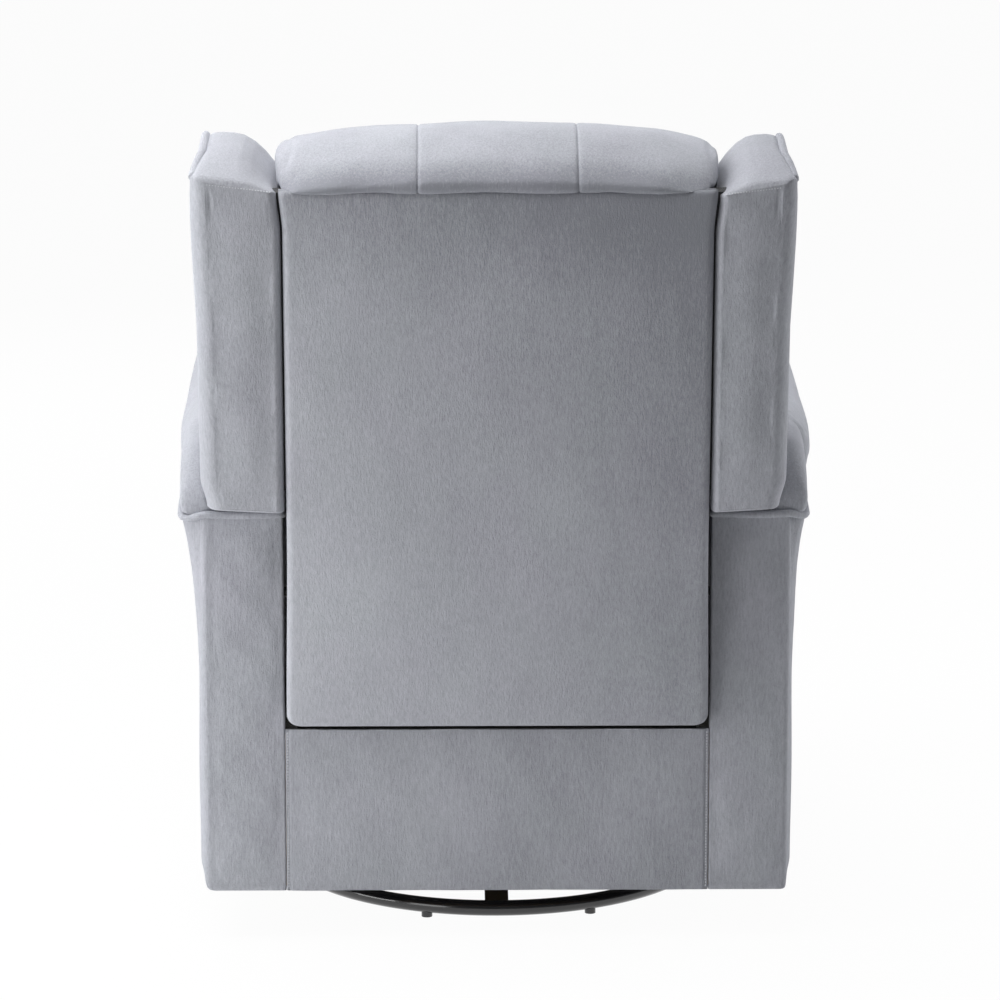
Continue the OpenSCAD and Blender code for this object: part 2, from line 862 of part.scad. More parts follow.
module back_cross_rails() {
  inner = post_out - post_w;
  step = (frame_top - frame_low - back_rail_h) / 2;
  color(timber) leaned() for (k = [0:2])
    box([-inner, -panel_t - back_rail_d, frame_low + k * step], [inner, -panel_t, frame_low + k * step + back_rail_h]);
}

module back_webbing() {
  step = (frame_top - frame_low - strap_w) / strap_count;
  color(webbing) leaned() for (k = [1:strap_count]) let (z = frame_low + k * step - strap_w / 2)
    box([-post_out, -back_face, z], [post_out, -back_face + strap_t, z + strap_w]);
}

module rear_cover_panel() {
  color(velvet) leaned() box([-back_half_w, -panel_t, 0], [back_half_w, 0, panel_l]);
}

// Back cushion: one outline carried from side to side, drawn in at the two channels and at the ends
function back_half_at(share) = share < low_to_share ? low_half_w
  : share > roll_from_share ? roll_half
  : low_half_w + (roll_half - low_half_w) * (share - low_to_share) / (roll_from_share - low_to_share);

module back_cushion() {
  color(velvet) difference() {
    leaned() rotate([90, 0, 90]) loft([for (s = back_station_shares)
      let (x = s * back_half_w,
        lost = back_crown * pow(abs(s), 3) + back_edge * round_share(back_half_w - abs(x), back_edge)
          + channel_depth * channel_share(abs(abs(x) - channel_x), channel_w))
      [for (p = drawn_in(smooth(outline(back_shares, [0, 0], [-back_depth, back_l]), 2), lost))
        [p.x, p.y, s * back_half_at(p.y / back_l)]]]);
    leaned() box([-seat_w, -back_face, -over], [seat_w, back_depth, panel_l]);
  }
}

// Wings
module wing_board() {
  color(timber) leaned()
    box([post_out + bracket_t, -panel_t - wing_board_t, wing_board_foot], [wing_board_out, -panel_t, frame_top]);
}

module wing_board_left() {
  wing_board();
}

module wing_board_right() {
  other_side() wing_board();
}

module wing() {
  height = wing_l - wing_foot;
  color(velvet) difference() {
    leaned() loft([for (s = wing_station_shares)
      let (up = s * height,
        z = wing_foot + up,
        deep = wing_d_low + (wing_d_top - wing_d_low) * s,
        lost = wing_edge * round_share(height - up, wing_edge))
      [for (p = drawn_in(smooth(outline(wing_shares, [wing_in, 0], [wing_out - wing_in, -deep]), 2), lost))
        [p.x, p.y, z]]]);
    leaned() box([0, -panel_t - wing_board_t, wing_board_foot], [wing_board_out, -panel_t, frame_top]);
    box([0, 0, 0], [wing_out + over, back_y + back_depth, wing_z]);
  }
}

module wing_left() {
  wing();
}

module wing_right() {
  other_side() wing();
}

// Footrest linkage, drawn folded
module front_swing_link() {
  plate_at(swing_x, bar_t) difference() {
    union() {
      bar(crank_at, knee_at, bar_w);
      bar(knee_at, relay_at, bar_w);
    }
    hole(crank_at, link_pin_d);
    translate(torque_at) circle(d = torque_d);
  }
  pin_at(knee_at, carrier_x - near - rivet_t, swing_x - carrier_x + near + rivet_t, link_pin_d / 2);
  pin_at(knee_at, carrier_x - near - rivet_t, rivet_t, stud_shoulder_r);
  pin_at(relay_at, swing_x + bar_t, relay_x - swing_x + near, link_pin_d / 2);
  pin_at(relay_at, relay_x + bar_t + near, rivet_t, stud_shoulder_r);
}

module front_swing_links() {
  color(zinc) for (side = [0, 1]) mirror([side, 0, 0]) front_swing_link();
}

module rear_swing_link() {
  plate_at(swing_x, bar_t) difference() {
    bar(pair_at, heel_at, bar_w);
    hole(pair_at, link_pin_d);
  }
  pin_at(heel_at, carrier_x - near - rivet_t, swing_x - carrier_x + near + rivet_t, link_pin_d / 2);
  pin_at(heel_at, carrier_x - near - rivet_t, rivet_t, stud_shoulder_r);
}

module rear_swing_links() {
  color(zinc) for (side = [0, 1]) mirror([side, 0, 0]) rear_swing_link();
}

module torque_tube() {
  color(steel) pin_at(torque_at, -swing_x - bar_t, 2 * (swing_x + bar_t), torque_d / 2);
}

module carrier_link() {
  plate_at(carrier_x, bar_t) difference() {
    union() {
      bar(heel_at, knee_at, bar_w);
      bar(knee_at, board_at, bar_w);
    }
    hole(heel_at, link_pin_d);
    hole(knee_at, link_pin_d);
    hole(board_at, link_pin_d);
  }
}

module carrier_links() {
  color(zinc) for (side = [0, 1]) mirror([side, 0, 0]) carrier_link();
}

module relay_link() {
  plate_at(relay_x, bar_t) difference() {
    bar(relay_at, ear_at, bar_w);
    hole(relay_at, link_pin_d);
    hole(ear_at, link_pin_d);
  }
}

module relay_links() {
  color(zinc) for (side = [0, 1]) mirror([side, 0, 0]) relay_link();
}

// Footrest
module footrest_bracket() {
  low = board_at.y - bar_w;
  high = ear_at.y + bar_w / 2;
  plate_at(swing_x, bar_t) union() {
    bar(board_at, ear_at, bar_w);
    translate([board_at.x, low]) square([board_back - board_at.x, high - low]);
  }
  box([swing_x - flange_w, -board_back, low], [swing_x, -board_back + flange_t, high]);
  pin_at(board_at, carrier_x - near - rivet_t, swing_x - carrier_x + near + rivet_t, link_pin_d / 2);
  pin_at(board_at, carrier_x - near - rivet_t, rivet_t, stud_shoulder_r);
  pin_at(ear_at, swing_x + bar_t, relay_x - swing_x + near, link_pin_d / 2);
  pin_at(ear_at, relay_x + bar_t + near, rivet_t, stud_shoulder_r);
}

module footrest_brackets() {
  color(zinc) for (side = [0, 1]) mirror([side, 0, 0]) footrest_bracket();
}

module footrest_board() {
  color(timber) box([-board_half_w, -board_back - board_thick, board_low_z], [board_half_w, -board_back, board_top_z]);
}

module footrest_pad() {
  half = seat_half - foot_pad_overlap;
  height = foot_pad_top - board_low_z + foot_pad_overlap;
  color(velvet) difference() {
    rotate([90, 0, 90]) loft([for (s = side_station_shares)
      let (x = s * half,
        lost = seat_crown * pow(abs(s), 3) + foot_edge * round_share(half - abs(x), foot_edge))
      [for (p = drawn_in(smooth(outline(foot_shares, [-foot_pad_back, board_low_z - foot_pad_overlap],
          [foot_pad_back - foot_front, height]), 2), lost)) [p.x, p.y, x]]]);
    box([-seat_w, -foot_pad_back, 0], [seat_w, 0, seat_z]);
  }
}

// Release
module release_bracket() {
  color(steel) other_side() plate_at(lever_x + lever_t + near, lever_t) difference() {
    translate([lever_y - lever_back, bracket_z]) square([front_rail_y - lever_y + lever_back, rail_z + rail_h - bracket_z]);
    hole([lever_y, lever_z], link_pin_d);
  }
}

module trip_lever() {
  foot = [lever_y - lever_back, lever_z - lever_l];
  color(zinc) other_side() {
    plate_at(lever_x, lever_t) bar([lever_y, lever_z], foot, lever_w);
    pin_at([lever_y, lever_z], lever_x + lever_t, near + lever_t, link_pin_d / 2);
  }
}

// The release cable runs from below the tab to the lever's bracket: places behind the swivel axis and
// heights, with how far each is from the bracket out to the arm as a share
cable_line = [[-80, 316], [-100, 316], [-124, 316], [-146, 315], [-170, 313], [-204, 312], [-236, 311],
  [-258, 311], [-268, 311], [-268, 311]];
cable_out_shares = [1, 1, 0.953, 0.825, 0.629, 0.403, 0.222, 0.116, 0.056, 0];
cable_arm_x = seat_half - near - cable_d / 2;
cable_lever_x = lever_x + 2 * (lever_t + near);
cable_route = [for (i = [0:len(cable_line) - 1])
  [cable_lever_x + cable_out_shares[i] * (cable_arm_x - cable_lever_x), cable_line[i].x, cable_line[i].y]];

module release_cable() {
  color(webbing) other_side() tube(cable_route, cable_d / 2, 8);
}

module pull_tab() {
  mid = strap_x + tab_t - tab_r;
  color(webbing) other_side() translate([0, -tab_y + tab_w / 2, 0]) rotate([90, 0, 0]) linear_extrude(tab_w) {
    difference() {
      translate([mid, tab_z]) circle(r = tab_r);
      translate([mid, tab_z]) circle(r = tab_r - tab_t);
    }
    translate([strap_x, strap_foot_z]) square([tab_t, tab_z - strap_foot_z]);
  }
}

floor_ring();
ring_feet();
ring_spokes();
lower_race();
bearing_balls();
centre_bolt();
upper_race();
platform_plate();
glide_plate_right();
glide_plate_left();
upper_glide_pins();
front_glide_link_right();
front_glide_link_left();
rear_glide_link_right();
rear_glide_link_left();
glide_rail_right();
glide_rail_left();
lower_glide_pins();
front_cross_rail();
rear_cross_rail();
mechanism_plate_right();
mechanism_plate_left();
linkage_studs();
arm_frame_right();
arm_frame_left();
arm_cover_right();
arm_cover_left();
arm_pad_right();
arm_pad_left();
rear_base_board();
lower_rear_panel();
seat_front_rail();
seat_rear_rail();
seat_straps();
seat_cushion();
recline_pins();
release_bracket();
release_cable();
trip_lever();
pull_tab();
back_post_right();
back_post_left();
back_cross_rails();
back_webbing();
rear_cover_panel();
back_cushion();
hinge_bracket_right();
hinge_bracket_left();
wing_board_right();
wing_board_left();
wing_right();
wing_left();
front_swing_links();
rear_swing_links();
torque_tube();
carrier_links();
relay_links();
footrest_brackets();
footrest_board();
footrest_pad();
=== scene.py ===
"""Upholstery, finishes, light and camera of the swivel glider recliner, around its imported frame. Metres."""

import math

import bmesh
import bpy
import numpy as np
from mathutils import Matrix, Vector


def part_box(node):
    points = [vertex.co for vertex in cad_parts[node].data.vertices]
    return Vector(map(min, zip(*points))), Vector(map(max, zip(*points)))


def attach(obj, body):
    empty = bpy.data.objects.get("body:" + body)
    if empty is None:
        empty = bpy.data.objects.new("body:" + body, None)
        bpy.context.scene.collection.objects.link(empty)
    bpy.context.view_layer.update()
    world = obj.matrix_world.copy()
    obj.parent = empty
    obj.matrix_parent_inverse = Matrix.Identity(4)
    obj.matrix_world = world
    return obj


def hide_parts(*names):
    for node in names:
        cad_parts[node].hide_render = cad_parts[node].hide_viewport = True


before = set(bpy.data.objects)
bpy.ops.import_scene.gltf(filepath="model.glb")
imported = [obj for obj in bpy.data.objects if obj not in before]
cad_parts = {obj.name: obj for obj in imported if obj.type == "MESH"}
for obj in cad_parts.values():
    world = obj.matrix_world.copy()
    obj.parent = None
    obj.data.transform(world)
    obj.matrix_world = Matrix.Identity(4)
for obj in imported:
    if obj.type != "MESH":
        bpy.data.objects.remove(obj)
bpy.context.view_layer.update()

# The back's own frame: y out of its rear face, z up its lean
LEAN = math.radians(8.7)
BACK_Y = 0.370
BACK_Z = 0.283
BACK_HALF = 0.258
PANEL_LENGTH = 0.695
PANEL_THICK = 0.014
BACK_FACE = 0.087

# Body and arms
SEAT_HALF = 0.2645
ARM_FRONT = 0.440
ARM_REAR = 0.350
BODY_LOW = 0.063
ARM_TOP = 0.546
INNER_LOW = 0.330
COVER_THICK = 0.004
SEAT_TOP_STRAPS = 0.352

# Stuffing
PRESSURE = 4.0
SIMULATED_FRAMES = 12


# Shapes
def through(points, steps):
    """A smooth closed line through points: the cubic whose slope at a point is half the step between its
    neighbours."""
    p = np.asarray(points, float)
    before, after, beyond = np.roll(p, 1, 0), np.roll(p, -1, 0), np.roll(p, -2, 0)
    t = (np.arange(steps) / steps)[None, :, None]
    a, b, c, d = (q[:, None] for q in (before, p, after, beyond))
    square, cube = 2 * a - 5 * b + 4 * c - d, 3 * b - a - 3 * c + d
    curve = 0.5 * (2 * b + (c - a) * t + square * t**2 + cube * t**3)
    return counterclockwise(curve.reshape(-1, p.shape[1]))


def counterclockwise(line):
    """The same closed line, turned so that the area to its left is its inside."""
    ahead = np.roll(line, -1, 0)
    area = np.sum(line[:, 0] * ahead[:, 1] - line[:, 1] * ahead[:, 0])
    return line if area > 0 else line[::-1]


def unit(rows):
    """Each row as a direction of length one."""
    return rows / np.linalg.norm(rows, axis=1)[:, None]


def drawn_in(line, distance):
    """A closed flat line moved inwards by a distance, square to itself. The distance may differ from point
    to point."""
    along = np.roll(line, -1, 0) - np.roll(line, 1, 0)
    return line + np.asarray(distance).reshape(-1, 1) * unit(np.stack([-along[:, 1], along[:, 0]], 1))


def round_share(inside, edge):
    """Share of a round edge's radius that is lost at a distance inside it: one at the edge, nothing a
    radius in."""
    t = np.clip(np.asarray(inside, float) / edge, 0, 1)
    return 1 - np.sqrt(np.maximum(1 - (1 - t) ** 2, 0))


def quarter(count):
    """Places from 0 to 1, one for each point of an evenly divided quarter circle, closest together at 0."""
    return 1 - np.cos(np.linspace(0, math.pi / 2, count))


def side_shares(count):
    """Places from -1 to 1, closest together at both ends."""
    return np.sin(np.linspace(-math.pi / 2, math.pi / 2, count))


def looked_up(table, x):
    """A value read off a table of places and values."""
    places, values = np.transpose(table)
    return np.interp(x, places, values)


def eased(t):
    """Runs from 0 to 1 with no slope at either end."""
    t = np.clip(t, 0, 1)
    return t * t * (3 - 2 * t)


def leaned(points):
    """Points of the back's own frame, set at its lower rear edge and turned back by its lean."""
    x, y, z = np.moveaxis(np.asarray(points, float), -1, 0)
    out = BACK_Y + y * math.cos(LEAN) + z * math.sin(LEAN)
    return np.stack([x, out, BACK_Z - y * math.sin(LEAN) + z * math.cos(LEAN)], -1)


def mirrored(points, side):
    """Points of the sitter's left, or their mirror image at side -1."""
    return np.asarray(points, float) * np.array([side, 1, 1])


def grid_faces(rows, cols, wrap=False):
    """Four corners of each cell of a grid of points. With wrap, the last column joins the first."""
    i = np.arange(rows - 1)[:, None] * cols
    j = np.arange(cols if wrap else cols - 1)[None]
    ahead = (j + 1) % cols
    return np.stack([i + j, i + ahead, i + cols + ahead, i + cols + j], -1).reshape(-1, 4)


def outward(verts, faces):
    """Faces of a closed shell, turned so that the volume under them is positive."""
    a, b, c = (verts[faces[:, k]] for k in (0, 1, 2))
    d = verts[faces[:, -1]]
    volume = np.einsum("ij,ij->", a, np.cross(b, c)) + np.einsum("ij,ij->", a, np.cross(c, d))
    return faces if volume > 0 else faces[:, ::-1]


def piece(name, verts, faces, smooth=True):
    """A mesh object from points and from a list of face arrays."""
    mesh = bpy.data.meshes.new(name)
    corners = [face for block in faces for face in np.asarray(block).tolist()]
    mesh.from_pydata(np.asarray(verts, float).tolist(), [], corners)
    mesh.update()
    mesh.polygons.foreach_set("use_smooth", np.full(len(mesh.polygons), smooth))
    obj = bpy.data.objects.new(name, mesh)
    bpy.context.collection.objects.link(obj)
    return obj


def sided(name, verts, faces, side):
    """A piece that is drawn for the sitter's left, or its mirror image at side -1, and named after its
    side."""
    if side < 0:
        faces = [block[:, ::-1] for block in faces]
    return piece(name + ("_left" if side > 0 else "_right"), mirrored(verts, side), faces)


def lofted(sections):
    """Points and faces of a closed shell: closed sections joined in order, each end closed by rings that
    shrink to its middle."""
    sections = np.asarray(sections, float)
    shrink = np.array([0.75, 0.5, 0.25])[:, None, None]
    first, last = sections[0], sections[-1]
    low = first.mean(0) + (first - first.mean(0)) * shrink[::-1]
    high = last.mean(0) + (last - last.mean(0)) * shrink
    rings = np.concatenate([low, sections, high])
    rows, cols = rings.shape[:2]
    verts = np.concatenate([rings.reshape(-1, 3), [first.mean(0)], [last.mean(0)]])
    quads = grid_faces(rows, cols, wrap=True)
    j = np.arange(cols)
    ahead = (j + 1) % cols
    start = np.stack([np.full(cols, rows * cols), ahead, j], 1)
    end = np.stack([np.full(cols, rows * cols + 1), (rows - 1) * cols + j, (rows - 1) * cols + ahead], 1)
    turned = outward(verts, quads)
    flip = 1 if turned is quads else -1
    return verts, [turned, start[:, ::flip], end[:, ::flip]]


def tube(path, radius, sides, level=(0, 0, 1.0)):
    """Sections of a round tube along a path. Each ring stands square to the path, with its first axis
    square to one direction too."""
    p = np.asarray(path, float)
    along = unit(np.gradient(p, axis=0))
    side = unit(np.cross(along, [level]))
    up = np.cross(side, along)
    a = np.linspace(0, 2 * math.pi, sides, endpoint=False)[None, :, None]
    r = np.broadcast_to(np.asarray(radius, float).reshape(-1, 1, 1), (len(p), 1, 1))
    return p[:, None] + r * (np.cos(a) * side[:, None] + np.sin(a) * up[:, None])


def resampled(path, step):
    """Points at an even step along a line of straight pieces."""
    p = np.asarray(path, float)
    run = np.concatenate([[0], np.cumsum(np.linalg.norm(np.diff(p, axis=0), axis=1))])
    at = np.linspace(0, run[-1], max(2, int(round(run[-1] / step)) + 1))
    return np.stack([np.interp(at, run, p[:, k]) for k in range(p.shape[1])], 1)


def rounded(path, radius, steps=8):
    """A line whose corners are turned into arcs: each corner is a quadratic curve between points a radius
    before and after it."""
    p = np.asarray(path, float)
    line = [p[:1]]
    t = np.linspace(0, 1, steps)[:, None]
    for before, corner, after in zip(p[:-2], p[1:-1], p[2:]):
        start = corner + (before - corner) * min(radius / np.linalg.norm(before - corner), 0.5)
        end = corner + (after - corner) * min(radius / np.linalg.norm(after - corner), 0.5)
        line.append((1 - t) ** 2 * start + 2 * t * (1 - t) * corner + t**2 * end)
    return np.concatenate(line + [p[-1:]])


def evened(obj):
    """Replaces a mesh by itself with one smoothing subdivision."""
    modifier = obj.modifiers.new("even", "SUBSURF")
    modifier.levels = modifier.render_levels = 1
    settled(obj)


def thickened(obj, thickness):
    """Gives a sheet its thickness, towards its inner side."""
    modifier = obj.modifiers.new("cloth", "SOLIDIFY")
    modifier.thickness = thickness
    settled(obj)
    return obj


def settled(obj):
    """Replaces a mesh by what its modifiers make of it, and takes them off."""
    bpy.context.view_layer.update()
    made = bpy.data.meshes.new_from_object(obj.evaluated_get(bpy.context.evaluated_depsgraph_get()))
    obj.modifiers.clear()
    old, obj.data = obj.data, made
    name = old.name
    bpy.data.meshes.remove(old)
    made.name = name
    made.polygons.foreach_set("use_smooth", np.ones(len(made.polygons), bool))


def points_of(obj):
    """The points of a mesh as rows of x, y and z."""
    flat = np.zeros(len(obj.data.vertices) * 3, np.float32)
    obj.data.vertices.foreach_get("co", flat)
    return flat.reshape(-1, 3).astype(float)


def set_points(obj, points):
    """Moves the points of a mesh."""
    obj.data.vertices.foreach_set("co", np.asarray(points, np.float32).ravel())
    obj.data.update()


def normals_of(obj):
    """The outward direction at each point of a mesh."""
    flat = np.zeros(len(obj.data.vertices) * 3, np.float32)
    obj.data.vertices.foreach_get("normal", flat)
    return flat.reshape(-1, 3).astype(float)


def puffed(obj, voxel, cap):
    """Stuffs a closed form: evens its mesh, lets cloth swell under pressure without gravity, and keeps
    every point within cap of where it was. Cap is a function of the points."""
    remesh = obj.modifiers.new("even", "REMESH")
    remesh.mode = "VOXEL"
    remesh.voxel_size = voxel
    settled(obj)
    rest = points_of(obj)
    cloth = obj.modifiers.new("stuffing", "CLOTH")
    cloth.settings.use_pressure = True
    cloth.settings.uniform_pressure_force = PRESSURE
    cloth.settings.effector_weights.gravity = 0
    cloth.settings.quality = 5
    cloth.collision_settings.use_collision = False
    cloth.point_cache.frame_end = SIMULATED_FRAMES
    scene = bpy.context.scene
    for step in range(1, SIMULATED_FRAMES + 1):
        scene.frame_set(step)
    settled(obj)
    scene.frame_set(1)
    shift = points_of(obj) - rest
    size = np.linalg.norm(shift, axis=1)[:, None]
    most = cap(rest)[:, None]
    set_points(obj, rest + shift * (most * np.tanh(size / most)) / np.maximum(size, 1e-9))
    evened(obj)


def cut_rows(obj, places, near):
    """Adds a row of edges where a mesh crosses each plane of one x, so that a fine seam has its own
    points."""
    cut = bmesh.new()
    cut.from_mesh(obj.data)
    for place in places:
        faces = [f for f in cut.faces if abs(f.calc_center_median().x - place) < near]
        edges = list({e for f in faces for e in f.edges})
        verts = list({v for f in faces for v in f.verts})
        across = {"plane_co": Vector((place, 0, 0)), "plane_no": Vector((1, 0, 0))}
        bmesh.ops.bisect_plane(cut, geom=verts + edges + faces, dist=1e-5, **across)
    cut.to_mesh(obj.data)
    cut.free()
    obj.data.update()


def stitched(name, path, pitch, long, thick):
    """Sewing thread along a line: one short six-sided bead to a stitch, pointed at both ends and sunk to
    its middle. A bead is four rings."""
    sides = 6
    at = resampled(path, pitch)
    along = unit(np.gradient(at, axis=0))
    side = unit(np.cross(along, [[0.0, 0.02, 1.0]]))
    up = np.cross(side, along)
    a = np.linspace(0, 2 * math.pi, sides, endpoint=False)
    ring = np.cos(a)[None, :, None] * side[:, None] + np.sin(a)[None, :, None] * up[:, None]
    reach_shares, girth_shares = (-0.5, -0.3, 0.3, 0.5), (0.25, 1.0, 1.0, 0.25)
    rows = [
        at[:, None] + reach * long * along[:, None] + girth * thick * ring
        for reach, girth in zip(reach_shares, girth_shares)
    ]
    ends = [[5, 4, 3, 2], [5, 2, 1, 0], [18, 19, 20, 21], [18, 21, 22, 23]]
    bead = np.concatenate([grid_faces(len(rows), sides, wrap=True), ends])
    first = np.arange(len(at))[:, None, None] * len(rows) * sides
    return piece(name, np.stack(rows, 1).reshape(-1, 3), [(first + bead).reshape(-1, 4)])


# Finishes
class Wire:
    """A value on its way through a material, so that sums of values are written as Python sums."""

    def __init__(self, nodes, socket):
        self.nodes, self.socket = nodes, socket

    def _sum(self, operation, first, second):
        return self.nodes.node("Math", {"operation": operation}, {0: first, 1: second})

    def __add__(self, other):
        return self._sum("ADD", self, other)

    def __radd__(self, other):
        return self._sum("ADD", other, self)

    def __sub__(self, other):
        return self._sum("SUBTRACT", self, other)

    def __rsub__(self, other):
        return self._sum("SUBTRACT", other, self)

    def __mul__(self, other):
        return self._sum("MULTIPLY", self, other)

    def __rmul__(self, other):
        return self._sum("MULTIPLY", other, self)


class Nodes:
    """A tree of shader nodes, and the one way in which a node is added to it."""

    def __init__(self, tree):
        self.tree = tree
        tree.nodes.clear()

    def join(self, socket, value):
        """Links a wire to a socket, or sets the socket's own value."""
        if isinstance(value, Wire):
            self.tree.links.new(value.socket, socket)
        elif isinstance(value, tuple) and len(value) == 3 and socket.type == "RGBA":
            socket.default_value = (*value, 1.0)
        else:
            socket.default_value = value

    def node(self, kind, settings=None, values=None, out=0):
        """Any node: its type's last word, its settings, and the values or wires of its sockets."""
        made = self.tree.nodes.new("ShaderNode" + kind)
        for key, value in (settings or {}).items():
            setattr(made, key, value)
        for key, value in (values or {}).items():
            self.join(made.inputs[key], value)
        return Wire(self, made.outputs[out])

    def show(self, shader, kind="OutputMaterial"):
        """Joins a shader to the tree's output."""
        self.join(self.tree.nodes.new("ShaderNode" + kind).inputs["Surface"], shader)


class Finish(Nodes):
    """A material and its nodes. Its shader is a Principled BSDF, whose steady values are set on its own
    sockets."""

    def __init__(self, name, **steady):
        self.material = bpy.data.materials.new(name)
        self.material.use_nodes = True
        super().__init__(self.material.node_tree)
        self.shader = self.tree.nodes.new("ShaderNodeBsdfPrincipled")
        self.show(Wire(self, self.shader.outputs[0]))
        self.set(**steady)

    def set(self, **values):
        """Sets or links sockets of the shader; a name's underscores are spaces."""
        sockets = {socket.name.lower().replace(" ", "_"): socket for socket in self.shader.inputs}
        for key, value in values.items():
            self.join(sockets[key], value)

    def place(self):
        """Where a point is, in metres."""
        return self.node("TexCoord", out="Object")

    def stretched(self, scale):
        """Where a point is, with each axis multiplied."""
        return self.node("Mapping", {}, {"Vector": self.place(), "Scale": scale})

    def noise(self, at, scale, detail=2.0, rough=0.5):
        return self.node("TexNoise", {}, {"Vector": at, "Scale": scale, "Detail": detail, "Roughness": rough})

    def mix(self, share, low, high):
        """From one colour to another."""
        return self.node("Mix", {"data_type": "RGBA"}, {0: share, 6: low, 7: high}, out=2)

    def axis(self, vector, index):
        return self.node("SeparateXYZ", {}, {0: vector}, out=index)

    def bump(self, height, distance, strength=1.0):
        return self.node("Bump", {}, {"Height": height, "Distance": distance, "Strength": strength})


# Velvet: the nap's two colours, the height about which its painted light slope turns from lighter to darker,
# the back's shoulder above which a painted shadow under the head roll deepens, and the places between which
# the painted shadow on the head roll's underside begins
NAP_DARK = (0.251, 0.260, 0.287)
NAP_LIGHT = (0.493, 0.508, 0.544)
PAINTED_LIGHT_PIVOT = 0.62
SHOULDER = 0.84
ROLL_SHADOW_FROM = -0.365
ROLL_SHADOW_TO = -0.300


def velvet(name, shade=1.0, seed=0.0, painted_light_slope=(0.0, 0.0), under=0.0):
    """Grey upholstery velvet: a nap laid up and down in short streaks, in soft patches, with finer
    lighter hairs, and a sheen where it turns away. Shade scales both nap colours, a painted lightness that
    sets one part of the velvet apart from another. The painted light slope is how much the tone rises to
    the sitter's left, towards the key lamp, and downwards, and above the shoulder it then falls faster, a
    painted shadow under the head roll. Under is how much it falls towards the underside of the head roll,
    a painted shadow there."""
    f = Finish(name, sheen_weight=0.38, sheen_roughness=0.42, specular_ior_level=0.25)
    place = f.node("VectorMath", {"operation": "ADD"}, {0: f.place(), 1: (seed, seed * 0.7, seed * 1.3)})

    def grain(scale, stretch, detail, rough):
        at = f.node("VectorMath", {"operation": "MULTIPLY"}, {0: place, 1: (1.0, 1.0, stretch)})
        return f.noise(at, scale, detail, rough) - 0.5

    streaks = grain(430.0, 0.20, 2.0, 0.55)
    hairs = grain(950.0, 0.28, 2.0, 0.6)
    strokes = grain(46.0, 0.16, 2.0, 0.5)
    patches = grain(7.5, 0.6, 3.0, 0.55)
    specks = grain(620.0, 1.0, 1.0, 0.5)
    cloud = grain(11.0, 0.8, 2.0, 0.5)
    x, y, z = (f.axis(f.place(), index) for index in range(3))
    # Painted light and shade: the tone rises to the sitter's left, towards the key lamp, and downwards
    lean = x * painted_light_slope[0] + (PAINTED_LIGHT_PIVOT - z) * painted_light_slope[1]
    # Painted shadow under the head roll: above the shoulder the tone falls faster
    if painted_light_slope[1]:
        lean = lean - f.node("Math", {"operation": "MAXIMUM"}, {0: z - SHOULDER, 1: 0.0}) * 2.2
    # Painted shadow on the head roll's underside: the tone falls as y - 0.8 z rises from -0.365 to -0.300;
    # the same rule also darkens the rear half of the seat cushion
    if under:
        ends = {"Value": y - z * 0.8, "From Min": ROLL_SHADOW_FROM, "From Max": ROLL_SHADOW_TO}
        lean = lean - f.node("MapRange", {"interpolation_type": "SMOOTHSTEP"}, ends) * under
    tone = 0.5 + streaks * 0.85 + hairs * 0.55 + strokes * 0.22 + patches * 0.45 + specks * 0.35 + lean
    # Painted light and shade: shade scales both nap colours, so that one part of this velvet is painted
    # lighter or darker than another
    nap = f.mix(tone, *(tuple(c * shade for c in colour) for colour in (NAP_DARK, NAP_LIGHT)))
    multiplied = {"data_type": "RGBA", "blend_type": "MULTIPLY"}
    tinted = f.node("Mix", multiplied, {0: 1.0, 6: nap, 7: (1.01, 0.988, 1.010)}, out=2)
    f.set(base_color=f.mix(0.5 + cloud * 2.2, nap, tinted))
    f.set(roughness=0.78 + patches * 0.2)
    f.set(normal=f.bump(streaks * 0.9 + hairs * 0.5 + specks * 0.5, 0.0010, 0.55))
    f.shader.inputs["Sheen Tint"].default_value = (0.90, 0.92, 1.0, 1.0)
    return f.material


def thread(name):
    """Polyester sewing thread, twisted."""
    f = Finish(name, roughness=0.5, specular_ior_level=0.4)
    twist = f.noise(f.place(), 1800.0, 1.0)
    f.set(base_color=f.mix(twist, (0.50, 0.51, 0.54), (0.74, 0.75, 0.78)))
    f.set(normal=f.bump(twist, 0.0002, 0.5))
    return f.material


def painted_steel(name, colour, rough):
    """Powder paint on steel: a deep gloss with a faint orange peel, paler and duller where dust lies."""
    f = Finish(name, coat_weight=0.6, coat_roughness=0.12)
    peel = f.noise(f.place(), 420.0, 2.0)
    dust = f.noise(f.place(), 38.0, 4.0, 0.65)
    f.set(base_color=f.mix(dust * 0.25, colour, tuple(c + 0.03 for c in colour)))
    f.set(roughness=rough + dust * 0.10, normal=f.bump(peel, 0.0002, 0.25))
    return f.material


def bare_steel(name, colour, rough):
    """Zinc plated steel: with fine brush marks along its length, and darker clouds."""
    f = Finish(name, metallic=1.0)
    brush = f.noise(f.stretched((1.0, 0.08, 1.0)), 700.0, 2.0)
    cloud = f.noise(f.place(), 30.0, 4.0, 0.6)
    f.set(base_color=f.mix(cloud, tuple(c * 0.72 for c in colour), colour))
    f.set(roughness=rough + (brush - 0.5) * 0.18 + (cloud - 0.5) * 0.12, normal=f.bump(brush, 0.0002, 0.35))
    return f.material


